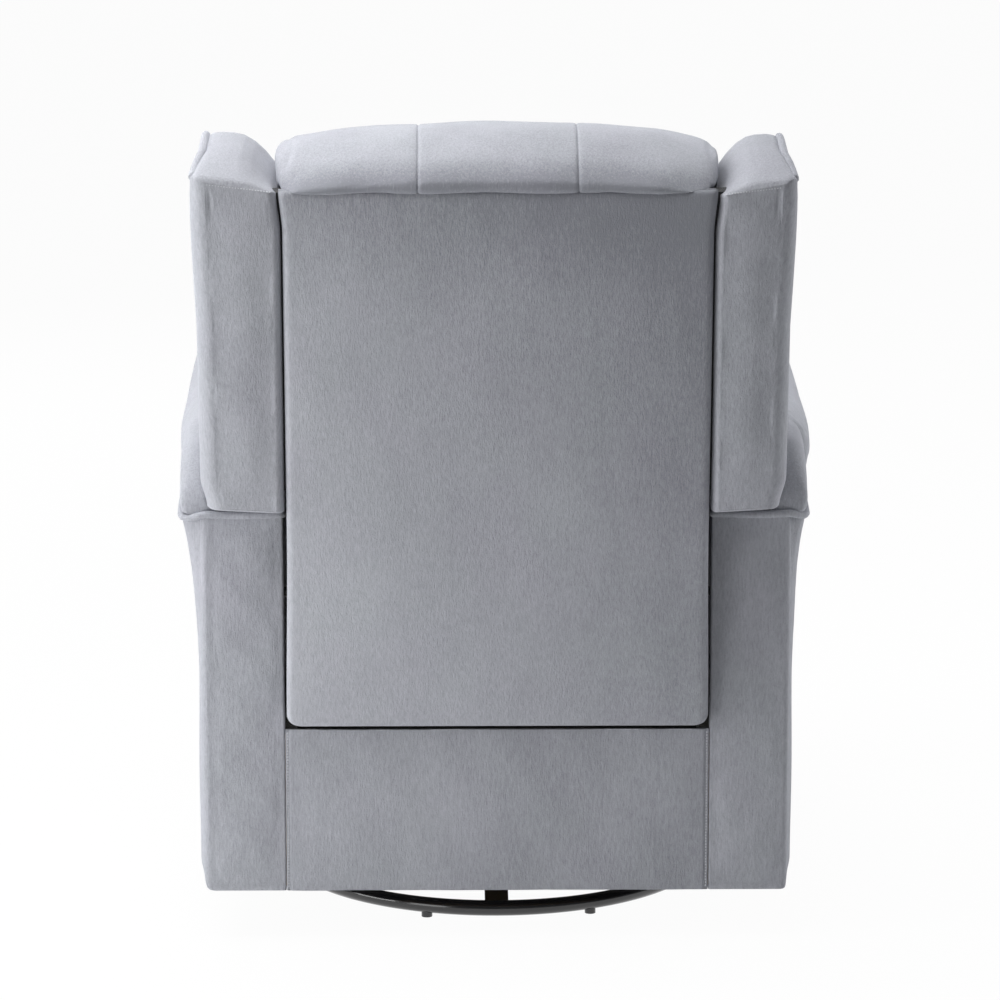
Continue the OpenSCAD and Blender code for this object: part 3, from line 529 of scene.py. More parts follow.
def wood(name, light, dark, along):
    """Sawn pine: long grain rings across the board, fine pores and a few darker streaks."""
    f = Finish(name, roughness=0.62)
    scale = tuple(2.2 if axis == along else 26.0 for axis in range(3))
    drift = f.noise(f.stretched(scale), 1.6, 3.0)
    bands = {"wave_type": "BANDS", "bands_direction": "Z" if along != 2 else "X"}
    wave = {"Vector": f.stretched(scale), "Scale": 0.9, "Distortion": 5.0, "Detail": 2.0}
    rings = f.axis(f.node("TexWave", bands, wave), 0)
    pores = f.noise(f.stretched(tuple(s * 14 for s in scale)), 1.0, 2.0)
    tone = drift * 0.5 + rings * 0.35 + pores * 0.25
    f.set(base_color=f.mix(tone, dark, light), normal=f.bump(pores, 0.0003, 0.4))
    return f.material


def woven(name, dark, light, pitch):
    """Woven strap: threads over and under each other, two sines crossed, with a little fuzz."""
    f = Finish(name, roughness=0.78, sheen_weight=0.2)
    place = f.place()
    turns = 2 * math.pi / pitch
    warp = f.node("Math", {"operation": "SINE"}, {0: f.axis(place, 0) * turns})
    weft = f.node("Math", {"operation": "SINE"}, {0: (f.axis(place, 1) + f.axis(place, 2)) * turns})
    weave = warp * weft * 0.5 + 0.5
    fuzz = f.noise(place, 900.0, 2.0)
    f.set(base_color=f.mix(weave * 0.7 + fuzz * 0.3, dark, light))
    f.set(normal=f.bump(weave + fuzz * 0.3, 0.0006, 0.8))
    return f.material


def finished(obj, material, body, slot, *nodes, fill=None):
    """Gives a piece its finish and body, and hides the nodes that it stands for."""
    obj.data.materials.clear()
    obj.data.materials.append(material)
    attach(obj, body)
    if nodes:
        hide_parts(*nodes)
    return obj


# The back cushion's side outline, as shares of its depth forward and of its length up
BACK_SHARES = [
    [0.275, 0.124], [0.489, 0.110], [0.590, 0.170], [0.643, 0.233], [0.787, 0.261], [0.944, 0.303],
    [1.000, 0.379], [0.984, 0.510], [0.928, 0.640], [0.872, 0.771], [0.787, 0.878], [0.584, 0.965],
    [0.321, 1.000], [0.105, 0.975], [0.012, 0.925], [0.098, 0.878], [0.230, 0.784], [0.249, 0.458],
]
BACK_DEPTH = 0.305
BACK_LENGTH = 0.757
CUSHION_HALF = 0.262
COVER_HALF = 0.2582
SEAM_X = 0.096
UNDER_ROLL = 0.689
ROLL_FOOT = 0.70


def rear_cover():
    """The padded board behind the back. At each height its section is a rounded rectangle. Its rear face
    stands out by 4 mm x (1 - across^4)(1 - along^4) and sags by a millimetre in slow waves. Its lower
    corners are round, and it grows wider by 3 mm down to its foot and by 4 mm at its upper corners."""
    foot, corner, edge, crown = -0.004, 0.016, 0.0085, 0.004
    low = foot + corner * quarter(10)[:-1]
    top = PANEL_LENGTH - np.array([0.002, 0.001, 0.0005])
    along = np.concatenate([low, np.linspace(foot + corner, PANEL_LENGTH - 0.0035, 110), top])
    wider_low = 0.0034 * eased((0.25 - along) / 0.25)
    wider_top = 0.0042 * eased((along - PANEL_LENGTH + 0.055) / 0.055)
    half = COVER_HALF + wider_low - corner * round_share(along - foot, corner) + wider_top
    width = 2 * BACK_HALF
    turn = quarter(6)[:-1] * edge
    place = np.concatenate([turn, np.linspace(edge, width - edge, 90), (width - turn)[::-1]]) / width
    x = (place * 2 - 1)[None] * half[:, None]
    near_end = np.minimum(along - foot, PANEL_LENGTH + 0.0006 - along)[:, None]
    lost = np.minimum(round_share(half[:, None] - np.abs(x), edge) + round_share(near_end, edge), 1)
    puff = crown * (1 - (x / half[:, None]) ** 4) * (1 - (2 * along[:, None] / PANEL_LENGTH - 1) ** 4)
    sag = 0.0009 * np.sin(x * 23 + 1.0) * np.sin(along[:, None] * 17 + 0.6)
    sag = sag + 0.0006 * np.sin(x * 9 - along[:, None] * 31)
    rear = puff - edge * lost + sag * (puff > 0) * np.clip(puff / 0.002, 0, 1)
    front_x = x[:, ::-1][:, ::12]
    front = np.full_like(front_x, -PANEL_THICK + 0.0005)
    ring_x = np.concatenate([x, front_x], 1)
    ring_y = np.concatenate([rear, front], 1)
    ring_z = np.broadcast_to(along[:, None], ring_x.shape)
    verts, faces = lofted(np.stack([ring_x, ring_y, ring_z], -1))
    return piece("rear_cover", leaned(verts), faces)


def dust_cloth():
    """The black cloth that closes the back's lower end: a sheet carried along a bent line, square to the
    back as far as the cushion and then 66 mm down, with sagging waves of 1.5 mm. Its black is partly
    painted shade: it fills the gap under the back, where shadow lies."""
    path = resampled(rounded([[-0.0135, 0.0015], [-0.0860, 0.0015], [-0.0930, -0.066]], 0.012), 0.004)
    x = np.linspace(-0.252, 0.252, 60)
    sag = 0.0015 * np.sin(np.arange(len(path)) * 0.35)[:, None] * np.sin(x * 25)[None]
    out = np.broadcast_to(path[:, :1], sag.shape)
    grid = np.stack([np.broadcast_to(x, sag.shape), out, path[:, 1:] + sag], -1)
    return thickened(piece("dust_cloth", leaned(grid).reshape(-1, 3), [grid_faces(*sag.shape)]), 0.0008)


# How far the head roll's top falls, at distances from its middle
ROLL_DROP = [
    [0, 0], [0.05, 0.0006], [0.117, 0.0044], [0.189, 0.0100], [0.237, 0.0186], [0.251, 0.0240],
    [0.262, 0.0310],
]


def roll_drop(x):
    """How far the top of the head roll falls towards its ends, 4 mm further at the sitter's right."""
    return looked_up(ROLL_DROP, np.abs(x)) + 0.0040 * eased((-x - 0.18) / 0.06)


def back_half(z):
    """Half the cushion's width at a height: narrow between the arms, wider over them, and bulging at the
    roll."""
    low = 0.2535 + 0.0045 * eased((z - 0.26) / 0.20)
    return low + 0.0070 * eased((z - 0.680) / 0.010) + 0.0110 * eased((z - 0.695) / 0.026)


def back_cushion():
    """The back cushion: its side outline carried from side to side, drawn in at its ends, stuffed, and
    then sewn in at its channels. Its head roll is flattened, and has a lip over the rear cover's top."""
    outline = through(np.array(BACK_SHARES) * [-BACK_DEPTH, BACK_LENGTH], 7)
    out, up = outline.T
    front = eased((-out - 0.10) / 0.06) * eased((0.74 - up) / 0.05)
    lip = np.exp(-(((up - 0.703) / 0.016) ** 2)) * (out > -0.03)
    ends_in = 0.020 - 0.010 * eased((up - ROLL_FOOT) / 0.03)
    sections = []
    for share in side_shares(61):
        x = share * CUSHION_HALF
        end = ends_in * round_share(CUSHION_HALF - abs(x), 0.015)
        line = drawn_in(outline, end * (1 - 0.75 * lip) + 0.010 * front)
        line[:, 0] += 0.0085 * lip
        z = np.where(line[:, 1] > ROLL_FOOT, ROLL_FOOT + (line[:, 1] - ROLL_FOOT) * 0.80, line[:, 1])
        z = z - roll_drop(x) * eased((z - 0.66) / 0.075)
        line[(z < UNDER_ROLL) & (line[:, 0] > -BACK_FACE), 0] = -BACK_FACE - 0.001
        sections.append(np.stack([share * back_half(z), line[:, 0], z], 1))
    obj = piece("back_cushion_cover", *lofted(sections))

    def reach(rest):
        front = eased((-rest[:, 1] - 0.11) / 0.07) * eased((0.745 - rest[:, 2]) / 0.05)
        return 0.0008 + 0.021 * front

    puffed(obj, 0.0068, reach)
    at = points_of(obj)
    x, y, z = at.T
    front = eased((-y - 0.10) / 0.08) * eased((0.74 - z) / 0.06) * eased((z - 0.20) / 0.08)
    deep = 0.020 * round_share(np.abs(np.abs(x) - SEAM_X), 0.050) * front
    set_points(obj, at - normals_of(obj) * deep[:, None])
    return obj


# Creases of the head roll: a middle (x, z), a direction, half a length and a depth
ROLL_CREASES = [
    [0.2525, 0.7180, -0.53, 0.85, 0.011, 0.0026], [0.2640, 0.7260, -0.80, 0.60, 0.006, 0.0020],
    [0.2440, 0.7060, -0.75, 0.66, 0.008, 0.0010], [-0.2560, 0.7200, 0.60, 0.80, 0.010, 0.0022],
    [-0.2440, 0.7300, 0.85, 0.53, 0.008, 0.0012], [0.1000, 0.7050, -0.90, 0.44, 0.014, 0.0007],
    [-0.0900, 0.7100, 0.92, 0.39, 0.016, 0.0007], [-0.1900, 0.7040, 0.97, 0.24, 0.020, 0.0006],
    [0.1700, 0.7020, -0.97, 0.24, 0.018, 0.0006],
]
CREASE_WIDTH = 0.0032
SEAM_ROWS = (-0.005, -0.0022, -0.0009, 0.0, 0.0009, 0.0022, 0.005)


def sewn_roll(obj):
    """Sews the two fine seams of the head roll: rows of points are added beside each, and the surface
    falls by 2.4 mm within 9 mm of it. Each crease is a Gaussian furrow along a short line. The cushion is
    then set in its place, at the back's lean."""
    for place in (-SEAM_X, SEAM_X):
        cut_rows(obj, [place + step for step in SEAM_ROWS], near=0.010)
    at = points_of(obj)
    x, y, z = at.T
    seam = np.abs(np.abs(x) - SEAM_X)
    top = eased((z - 0.66) / 0.02) * eased((y + 0.20) / 0.08)
    fall = 0.0014 * round_share(seam, 0.009) + 0.0010 * np.exp(-((seam / 0.0013) ** 2))
    pucker = 0.0
    for crease_x, crease_z, run, rise, long, deep in ROLL_CREASES:
        along = (x - crease_x) * run + (z - crease_z) * rise
        off = (x - crease_x) * rise - (z - crease_z) * run
        pucker = pucker + deep * np.exp(-((along / long) ** 2) - (off / CREASE_WIDTH) ** 2)
    swell = 0.0010 * np.sin(x * 47 + 0.8) * np.sin(y * 60 + 1.1)
    set_points(obj, at - normals_of(obj) * ((fall + pucker + swell) * top)[:, None])
    set_points(obj, leaned(points_of(obj)))


# The wings, in the back's own frame: their inner and outer side, their rear seam's height at both, their
# top, their depth low down, the run from rear to front on which their sections stand, and the part of it
# over which their crown rises
WING_IN = 0.2604
WING_OUT = 0.3668
WING_SEAM = (0.6905, 0.7035)
WING_TOP = 0.7215
WING_DEPTH = 0.222
WING_RUN = 0.2
CROWN_RISE = 0.105

# Heights in the room of a wing's foot, outside and inside, and its outer side's place at heights in the room
WING_FOOT = (0.5665, 0.5625)
WING_SLOPE = [
    [0.566, 0.3610], [0.80, 0.3613], [0.85, 0.3635], [0.905, 0.3656], [0.96, 0.3668], [1.05, 0.3668],
]

# How far a wing's crown lies under its top, from its inner to its outer side
WING_CREST = [
    [0.2604, -0.052], [0.268, -0.038], [0.280, -0.024], [0.2945, -0.0115], [0.309, -0.0036], [0.323, -0.0008],
    [0.3376, 0.0], [0.345, -0.0004], [0.352, -0.0014], [0.3575, -0.004], [0.361, -0.009], [0.3645, -0.019],
    [0.3668, -0.032],
]

# Where the rolled outer edge of a wing's top runs, forward from its rear, and how thick it is along its run
ROLL_LINE = [
    [0, 0.3618], [0.010, 0.3617], [0.025, 0.3612], [0.040, 0.3603], [0.055, 0.3590], [0.075, 0.3565],
    [0.100, 0.3528], [0.2, 0.3515],
]
ROLL_RADIUS = [[0, 0.0024], [0.012, 0.0042], [0.030, 0.0058], [0.150, 0.0056], [0.220, 0.0036], [1, 0.0034]]

# Puckers of a wing's rear face: a middle (x, z), half a length and a depth
WING_PUCKERS = [
    [0.3465, 0.686, 0.017, 0.0034], [0.3410, 0.680, 0.014, 0.0016], [0.2700, 0.676, 0.020, 0.0010],
]

# A wing's section: how many points go up each side and over its crown, the shares at which points stand
# along its foot, and the angles at which they stand round a corner of it
WING_ROWS = 110
WING_CROWN = 40
WING_FEET = np.linspace(0, 1, 9)[1:-1]
WING_BEND = np.linspace(0, math.pi / 2, 6)[1:-1]


def wing_depth(z):
    """How far forward the wing reaches at a height: 222 mm low, 172 mm at its top."""
    return WING_DEPTH - 0.050 * np.clip(z / 0.722, 0, 1)


def seam_height(x, lower):
    """The height of a wing's rear top seam, which rises outwards."""
    return np.interp(x, [WING_IN, WING_OUT], WING_SEAM) - lower


def crown_share(away):
    """How much of its full height a wing's crown has, forward from its rear seam: a quarter of a sine."""
    return np.sin(math.pi / 2 * np.minimum(1, away / CROWN_RISE))


def seam_lip(away):
    """How far a wing's top rolls up over its rear seam before its crown takes over."""
    return 0.0075 * (1 - round_share(away, 0.012)) * (1 - crown_share(away))


def wing_section(share, lower, slim):
    """One section of a wing, seen from the rear: up its outer side, over its crown, down its inner side
    and back along its foot. Every side is drawn in at the wing's rear and front."""
    away = share * WING_RUN
    front_in = 0.030 * round_share((1 - share) * WING_RUN, 0.034)
    outer_in = np.maximum(0.0200 * round_share(away, 0.030), front_in)
    inner_in = np.maximum(0.0095 * round_share(away, 0.019), front_in)
    foot_in = np.maximum(0.003 * round_share(away, 0.004), front_in)
    x_crown = np.linspace(WING_OUT, WING_IN, WING_CROWN)
    seam = seam_height(x_crown, lower)
    lip = seam_lip(away) * np.interp(x_crown, [WING_IN, 0.30], [0.3, 1])
    crown = WING_TOP - lower + looked_up(WING_CREST, x_crown)
    top = seam + (crown - seam) * crown_share(away) + lip - front_in
    top -= 0.0010 * math.exp(-(((away - 0.0014) / 0.0008) ** 2))
    rise = share * WING_DEPTH * math.sin(LEAN)
    out_low, in_low = ((z - BACK_Z - rise) / math.cos(LEAN) + foot_in for z in WING_FOOT)
    hem = 0.003
    up = np.linspace(0, 1, WING_ROWS)
    z_out = out_low + hem + up * (top[0] - out_low - hem)
    z_room = BACK_Z + away * math.sin(LEAN) + z_out * math.cos(LEAN)
    near_top = np.clip(1 - (top[0] - z_out) / 0.062, 0, 1) ** 1.7
    lean_in = (WING_OUT - looked_up(ROLL_LINE, away) - 0.0032) * near_top
    slant = 0.0078 * eased((out_low + 0.040 - z_out) / 0.040)
    x_out = looked_up(WING_SLOPE, z_room) - slim - np.maximum(outer_in, lean_in * (share > 0.02)) - slant
    z_in = in_low + hem + up[::-1] * (top[-1] - in_low - hem)
    x_in = WING_IN + inner_in + 0.0050 * eased((z_in - WING_SEAM[0] + lower + 0.055) / 0.055)
    x_mid = x_in[0] + (x_out[-1] - x_in[0]) * (x_crown - WING_IN) / (WING_OUT - WING_IN)
    foot_x = np.concatenate([
        x_in[-1] + hem * (1 - np.cos(WING_BEND)),
        x_in[-1] + hem + WING_FEET * (x_out[0] - x_in[-1] - 2 * hem),
        x_out[0] - hem * (1 - np.sin(WING_BEND)),
    ])
    low = in_low + (out_low - in_low) * (foot_x - x_in[-1]) / (x_out[0] - x_in[-1])
    turn = np.concatenate([1 - np.sin(WING_BEND), np.zeros_like(WING_FEET), 1 - np.cos(WING_BEND)])
    xs = np.concatenate([x_out, x_mid[1:-1], x_in, foot_x])
    zs = np.concatenate([z_out, top[1:-1], z_in, low + hem * turn])
    return np.stack([xs, -share * wing_depth(zs), zs], 1)


def wing_rear(first, side, lower, slim):
    """A wing's rear face: a grid between the two sides of its first section, with a soft swell, and with
    short Gaussian puckers under its corners."""
    bends = len(WING_BEND)
    inner_at = WING_ROWS + WING_CROWN - 2
    outer_rows = np.concatenate([first[-bends:], first[:WING_ROWS]])
    inner_rows = first[inner_at:inner_at + WING_ROWS + bends][::-1]
    share = np.linspace(0, 1, 56)[None, :, None]
    face = outer_rows[:, None] * (1 - share) + inner_rows[:, None] * share
    x, z = face[..., 0], face[..., 2]
    inside = np.minimum(share[..., 0], 1 - share[..., 0]) * (WING_OUT - WING_IN)
    ends_in = np.minimum(z - z.min(0), z.max(0) - z)
    swell = 0.0026 * eased(inside / 0.050) * eased(ends_in / 0.060)
    pucker = 0.0
    for across, height, long, deep in WING_PUCKERS:
        above = z - (height - lower)
        off = (x - (across - slim * (across > 0.30)) - above * 0.05) / 0.0019
        pucker = pucker + deep * np.exp(-(off**2) - (above / long) ** 2)
    waver = 0.0006 * np.sin(z * 44 + side) * np.sin(x * 60) + 0.0004 * np.sin(z * 91 + x * 35)
    face[..., 1] += swell + (waver - pucker) * eased(inside / 0.006) * eased(ends_in / 0.006)
    return face


def wing(side, lower, slim):
    """A wing of the back: its sections carried forward to its sloping front edge, round at the front and
    at the rear corners, with a grid for its rear face. Lower is how much it loses in height, and slim at
    its outer side."""
    edge = 0.034
    rear = edge * quarter(16) / WING_RUN
    front = 1 - edge * quarter(9)[::-1] / WING_RUN
    stations = np.concatenate([rear[:-1], np.linspace(rear[-1], front[0], 28)[:-1], front])
    sections = [wing_section(share, lower, slim) for share in stations]
    face = wing_rear(sections[0], side, lower, slim)
    verts, faces = lofted(sections)
    wall = faces[0][3 * len(sections[0]):]
    grid = grid_faces(*face.shape[:2]) + len(verts)
    verts = np.concatenate([verts, face.reshape(-1, 3)])
    a, b, c = (verts[grid[:, k]] for k in (0, 1, 2))
    grid = grid if np.cross(b - a, c - b)[:, 1].sum() > 0 else grid[:, ::-1]
    return sided("wing_cover", leaned(verts), [wall, faces[2], grid], side)


def wing_stitches(side, lower, slim):
    """The topstitching along a wing's rear top seam."""
    x = np.linspace(0.3440 - slim, 0.2720, 30)
    return mirrored(leaned(np.stack([x, np.full_like(x, -0.0004), seam_height(x, lower) + 0.0002], 1)), side)


def wing_roll(side, lower, slim):
    """The rolled outer edge of a wing: out of its rear corner, forward along the crown, and down the rim
    of its front face, where it thins to a piping."""
    away = np.linspace(0.021, 0.164, 40)
    x = looked_up(ROLL_LINE, away)
    seam = 0.7025 - lower
    crown = WING_TOP - lower + looked_up(WING_CREST, x)
    top = seam + (crown - seam) * crown_share(away) + seam_lip(away) - 0.0056
    up = np.stack([x, -away * wing_depth(top) / WING_RUN, top], 1)
    start = np.array([[0.3555, -0.0350, -0.016], [0.3580, -0.0300, -0.008], [0.3597, -0.0240, -0.001]])
    start[:, 2] += seam
    z = np.linspace(top[-1] - 0.018, 0.30, 60)
    down = np.stack([np.interp(z, [0.60, 0.70], [0.3585, 0.3515]), -wing_depth(z) + 0.009, z], 1)
    bend = rounded([up[-1], [0.3515, down[0, 1], top[-1]], down[0]], 0.02)[1:-1]
    path = np.concatenate([start, up, bend, down])
    path[:, 0] -= slim
    step = 0.003
    path = resampled(path, step)
    radius = looked_up(ROLL_RADIUS, np.arange(len(path)) * step)
    return sided("wing_roll", *lofted(tube(leaned(path), radius, sides=16, level=(1.0, 0, 0))), side)


# The arms: how far the outer side stands out under the arm pad, from a table of heights
FLARE = [
    [0.063, 0.0], [0.340, 0.0], [0.383, 0.0010], [0.414, 0.0026], [0.444, 0.0048], [0.475, 0.0080],
    [0.505, 0.0125], [0.535, 0.0180], [0.560, 0.0200],
]
ARM_SIDE = 0.3662


def arm_line(z, inset, slim, splay):
    """The arm's outline at one height, seen from above: rear face, rounded corner, outer side and front
    face. The side swells as it leaves the rear corner, and flares under the pad. Slim is how much the
    whole side loses, and splay how much its flare does."""
    round_rear, round_front, round_in = 0.0080, 0.022, 0.003
    rear, front = ARM_REAR - inset, -ARM_FRONT + inset
    low_in = (0.0045 - slim) * round_share(z - BODY_LOW, 0.016)
    edge = ARM_SIDE - slim - inset - low_in
    bend = np.linspace(0, math.pi / 2, 9)
    near = np.linspace(rear - round_rear, rear - 0.06, 22)[:-1]
    run = np.concatenate([near, np.linspace(rear - 0.06, front + round_front, 70)])
    swell = 0.0055 * eased((z - BODY_LOW - 0.004) / 0.03) * eased((rear - run) / 0.035)
    flare = looked_up(FLARE, z) - splay * eased((z - 0.38) / 0.15)
    over = 0.040 - 0.016 * eased((z - 0.46) / 0.08)
    x_side = edge + swell + flare * eased((rear - run + 0.004) / over)
    rear_middle = np.array([edge - round_rear, rear - round_rear])
    front_middle = np.array([x_side[-1] - round_front, front + round_front])
    rear_corner = rear_middle + round_rear * np.stack([np.sin(bend), np.cos(bend)], 1)
    front_corner = front_middle + round_front * np.stack([np.cos(bend), -np.sin(bend)], 1)
    x_rear = np.linspace(SEAT_HALF, rear_middle[0], 26)[2:-1]
    x_front = np.linspace(front_middle[0], SEAT_HALF, 26)[1:-2]
    turn, rise = round_in * (1 - np.cos(bend)), round_in * (1 - np.sin(bend))
    rear_in = np.stack([SEAT_HALF + turn, rear - rise], 1)
    front_in = np.stack([SEAT_HALF + turn, front + rise], 1)[::-1]
    return np.concatenate([
        [[SEAT_HALF, rear - 0.016], [SEAT_HALF, rear - 0.008]], rear_in,
        np.stack([x_rear, np.full_like(x_rear, rear)], 1), rear_corner,
        np.stack([x_side, run], 1)[1:-1], front_corner,
        np.stack([x_front, np.full_like(x_front, front)], 1), front_in,
        [[SEAT_HALF, front + 0.008], [SEAT_HALF, front + 0.016]],
    ])


def arm_cover(side, slim, splay):
    """The upholstered shell of an arm: one wall carried up the arm's outline, crowned by 2 mm at its rear
    face, rippled by a millimetre as stretched cloth is and drawn in at its hem, and an inner wall beside
    the seat."""
    heights = np.concatenate([
        BODY_LOW + 0.004 * quarter(4)[:-1], np.linspace(BODY_LOW + 0.004, ARM_TOP, 120),
    ])
    rows = []
    for z in heights:
        line = arm_line(z, 0.0005, slim, splay)
        rows.append(np.column_stack([line, np.full(len(line), z)]))
    grid = np.array(rows)
    x, y, z = grid[..., 0], grid[..., 1], grid[..., 2]
    middle = np.clip((z - BODY_LOW) / 0.04, 0, 1) * np.clip((ARM_TOP - z) / 0.03, 0, 1)
    rear_face = np.clip((y - ARM_REAR + 0.0015) / 0.001, 0, 1) * np.clip((x - SEAT_HALF - 0.006) / 0.01, 0, 1)
    rear_face = rear_face * np.clip((0.354 - x) / 0.01, 0, 1)
    crown = 0.0022 * np.sin(math.pi * np.clip((x - SEAT_HALF) / 0.098, 0, 1))
    ripple = 0.0006 * np.sin(z * 37 + x * 50) + 0.0004 * np.sin(z * 83 - x * 90)
    grid[..., 1] += rear_face * middle * (crown + ripple)
    side_face = np.clip((0.34 - y) / 0.02, 0, 1) * (x > 0.355)
    ripple = 0.0006 * np.sin(y * 19 + z * 11) + 0.0004 * np.sin(y * 43 - z * 29 + 0.5)
    grid[..., 0] += side_face * middle * ripple
    hem = 0.0016 * np.exp(-(((z - 0.0715) / 0.0012) ** 2))
    grid[..., 1] -= hem * (y > 0.34)
    ys, zs = np.linspace(ARM_REAR - 0.002, -ARM_FRONT + 0.002, 90), np.linspace(INNER_LOW, ARM_TOP, 26)
    y_in, z_in = np.meshgrid(ys, zs)
    inner = np.stack([np.full_like(y_in, SEAT_HALF + 0.0005), y_in, z_in], -1)
    verts = np.concatenate([grid.reshape(-1, 3), inner.reshape(-1, 3)])
    faces = [grid_faces(*x.shape)[:, ::-1], grid_faces(*y_in.shape) + x.size]
    return thickened(sided("arm_shell", verts, faces, side), COVER_THICK - 0.0005)


# The welt's way round the rear corner, seen from above
BEAK = [
    [0.3560, 0.3500], [0.3640, 0.3492], [0.3720, 0.3465], [0.3800, 0.3415], [0.3868, 0.3340],
    [0.3896, 0.3220], [0.3902, 0.3050],
]


def arm_band(side, slim, splay):
    """The flattened welt where an arm's cover meets its pad: a band carried along the rear, the outer side
    and the front. It drops by 6 mm at the rear corner."""
    line = arm_line(ARM_TOP, 0.0, slim, splay)[2:-2]
    x, y = line.T
    rear = line[(y > ARM_REAR - 0.004) & (x < 0.345)]
    beak = np.array(BEAK) - [slim + splay, 0]
    outer, front = line[(y < 0.290) & (x > 0.30)], line[y < -0.41][-20:]
    line = resampled(np.concatenate([rear, beak, outer, front]), 0.0045)
    ahead = unit(np.gradient(line, axis=0))
    out = np.stack([ahead[:, 1], -ahead[:, 0]], 1)
    out *= np.sign(np.sum(out * (line - [0.31, 0.0]), 1))[:, None]
    path = np.concatenate([line + out * 0.0005, np.full((len(line), 1), ARM_TOP + 0.001)], 1)
    thicker = 0.10 * eased((path[:, 1] - 0.30) / 0.05)
    drop = 0.0062 * eased((path[:, 0] - 0.358) / 0.026) * eased((path[:, 1] - 0.24) / 0.07)
    path[:, 2] += 0.0006 * np.sin(path[:, 0] * 60 + path[:, 1] * 31) - drop
    middle = path[:, None]
    off = tube(path, 0.0046, sides=14) - middle
    off[..., 2] *= 0.92 + thicker[:, None]
    return sided("arm_band", *lofted(middle + off), side)


# The arm pad's section, as shares of its width and height, and its width at places from front to rear
PAD_SHARES = [
    [0, 0.45], [0.02, 0.10], [0.10, -0.03], [0.50, -0.04], [0.90, -0.03], [0.985, 0.12], [1, 0.42],
    [0.982, 0.74], [0.90, 0.93], [0.70, 0.99], [0.45, 1], [0.20, 0.95], [0.05, 0.75],
]
PAD_WIDTHS = [
    [-0.462, 0.1425], [-0.30, 0.1440], [-0.05, 0.1425], [0.05, 0.1410], [0.12, 0.1355], [0.183, 0.1310],
]
PAD_TALL = 0.086


def arm_pad(side):
    """The padded top of an arm: its outline carried from rear to front, widening, drawn in at its ends,
    then stuffed, and sewn in along a groove beside the seat."""
    rear, front, edge = 0.183, -0.462, 0.02
    ends = edge * quarter(8)
    sections = []
    for y in np.concatenate([rear - ends, np.linspace(0.155, -0.434, 60), front + ends[::-1]]):
        line = through(np.array(PAD_SHARES) * [looked_up(PAD_WIDTHS, y), PAD_TALL] + [SEAT_HALF, ARM_TOP], 6)
        line = drawn_in(line, 0.0025 + 0.018 * round_share(min(rear - y, y - front), edge))
        line[:, 1] = np.maximum(line[:, 1], ARM_TOP + 0.002)
        sections.append(np.stack([line[:, 0], np.full(len(line), y), line[:, 1]], 1))
    obj = sided("arm_cushion", *lofted(sections), side)

    def reach(rest):
        inside = np.abs(rest[:, 0]) < SEAT_HALF + 0.006
        return np.where(rest[:, 2] > 0.575, 0.0065, 0.0012) * np.where(inside, 0.35, 1.0)

    puffed(obj, 0.0058, reach)
    at = points_of(obj)
    top = eased((at[:, 2] - 0.60) / 0.02)
    at[:, 2] -= 0.0035 * round_share(np.abs(np.abs(at[:, 0]) - (SEAT_HALF + 0.028)), 0.012) * top
    at[:, 2] = np.maximum(at[:, 2], ARM_TOP + 0.0005)
    at[:, 0] = side * np.maximum(np.abs(at[:, 0]), SEAT_HALF + 0.0004)
    set_points(obj, at)
    return obj


# The outer side and the top of the pad's tail, from rearward places
TAIL_OUTER = [[0.10, 0.3880], [0.15, 0.3950], [0.19, 0.3958], [0.26, 0.3935], [0.32, 0.3912], [0.345, 0.3905]]
TAIL_TOP = [[0.10, 0.6180], [0.15, 0.6290], [0.20, 0.6305], [0.26, 0.6240], [0.345, 0.6130]]


def arm_tail(side, slim, wing_slim):
    """The pad's tail beside the wing: a quarter-round carried back from the pad to the arm's rear. Its
    outer side is x = inner + wide x cos^0.6, its top z = middle + tall x sin^0.8. Its top comes down to the
    welt over its last 85 mm, as a quarter circle does."""
    rear, inner, foot = 0.3455, 0.3618 - wing_slim, 0.5475
    y = np.concatenate([rear - 0.075 * quarter(26), np.linspace(0.266, 0.100, 44)])
    slope = 1 - round_share(rear - y, 0.085)[:, None]
    thin = np.maximum(1 - round_share(rear - y, 0.012), math.sqrt(0.05))[:, None]
    wide = (looked_up(TAIL_OUTER, y)[:, None] - slim - inner) * (0.60 + 0.40 * thin)
    low_top = foot + 0.002
    top = low_top + (looked_up(TAIL_TOP, y)[:, None] - low_top) * slope
    middle = foot + 0.45 * (top - foot)
    up = np.linspace(math.pi / 2, 0, 24)[None]
    down = np.linspace(0, math.pi / 2, 10)[None, 1:]
    rise = foot + (top - foot) * np.linspace(0, 1, 10)[None, 1:-1]
    under_wing = 0.0075 * (1 - eased((rise - 0.566) / 0.035))
    inner_x = inner - under_wing - 0.0085 * (1 - eased((rise - 0.556) / 0.006))
    under_x = inner + wide * (1 - 0.16 * (1 - np.cos(down)))
    x = np.concatenate([inner + wide * np.abs(np.cos(up)) ** 0.6, under_x, inner_x], 1)
    top_z = middle + (top - middle) * np.sin(up) ** 0.8
    z = np.concatenate([top_z, middle - (middle - foot) * np.sin(down), rise], 1)
    return sided("arm_tail", *lofted(np.stack([x, np.broadcast_to(y[:, None], x.shape), z], -1)), side)


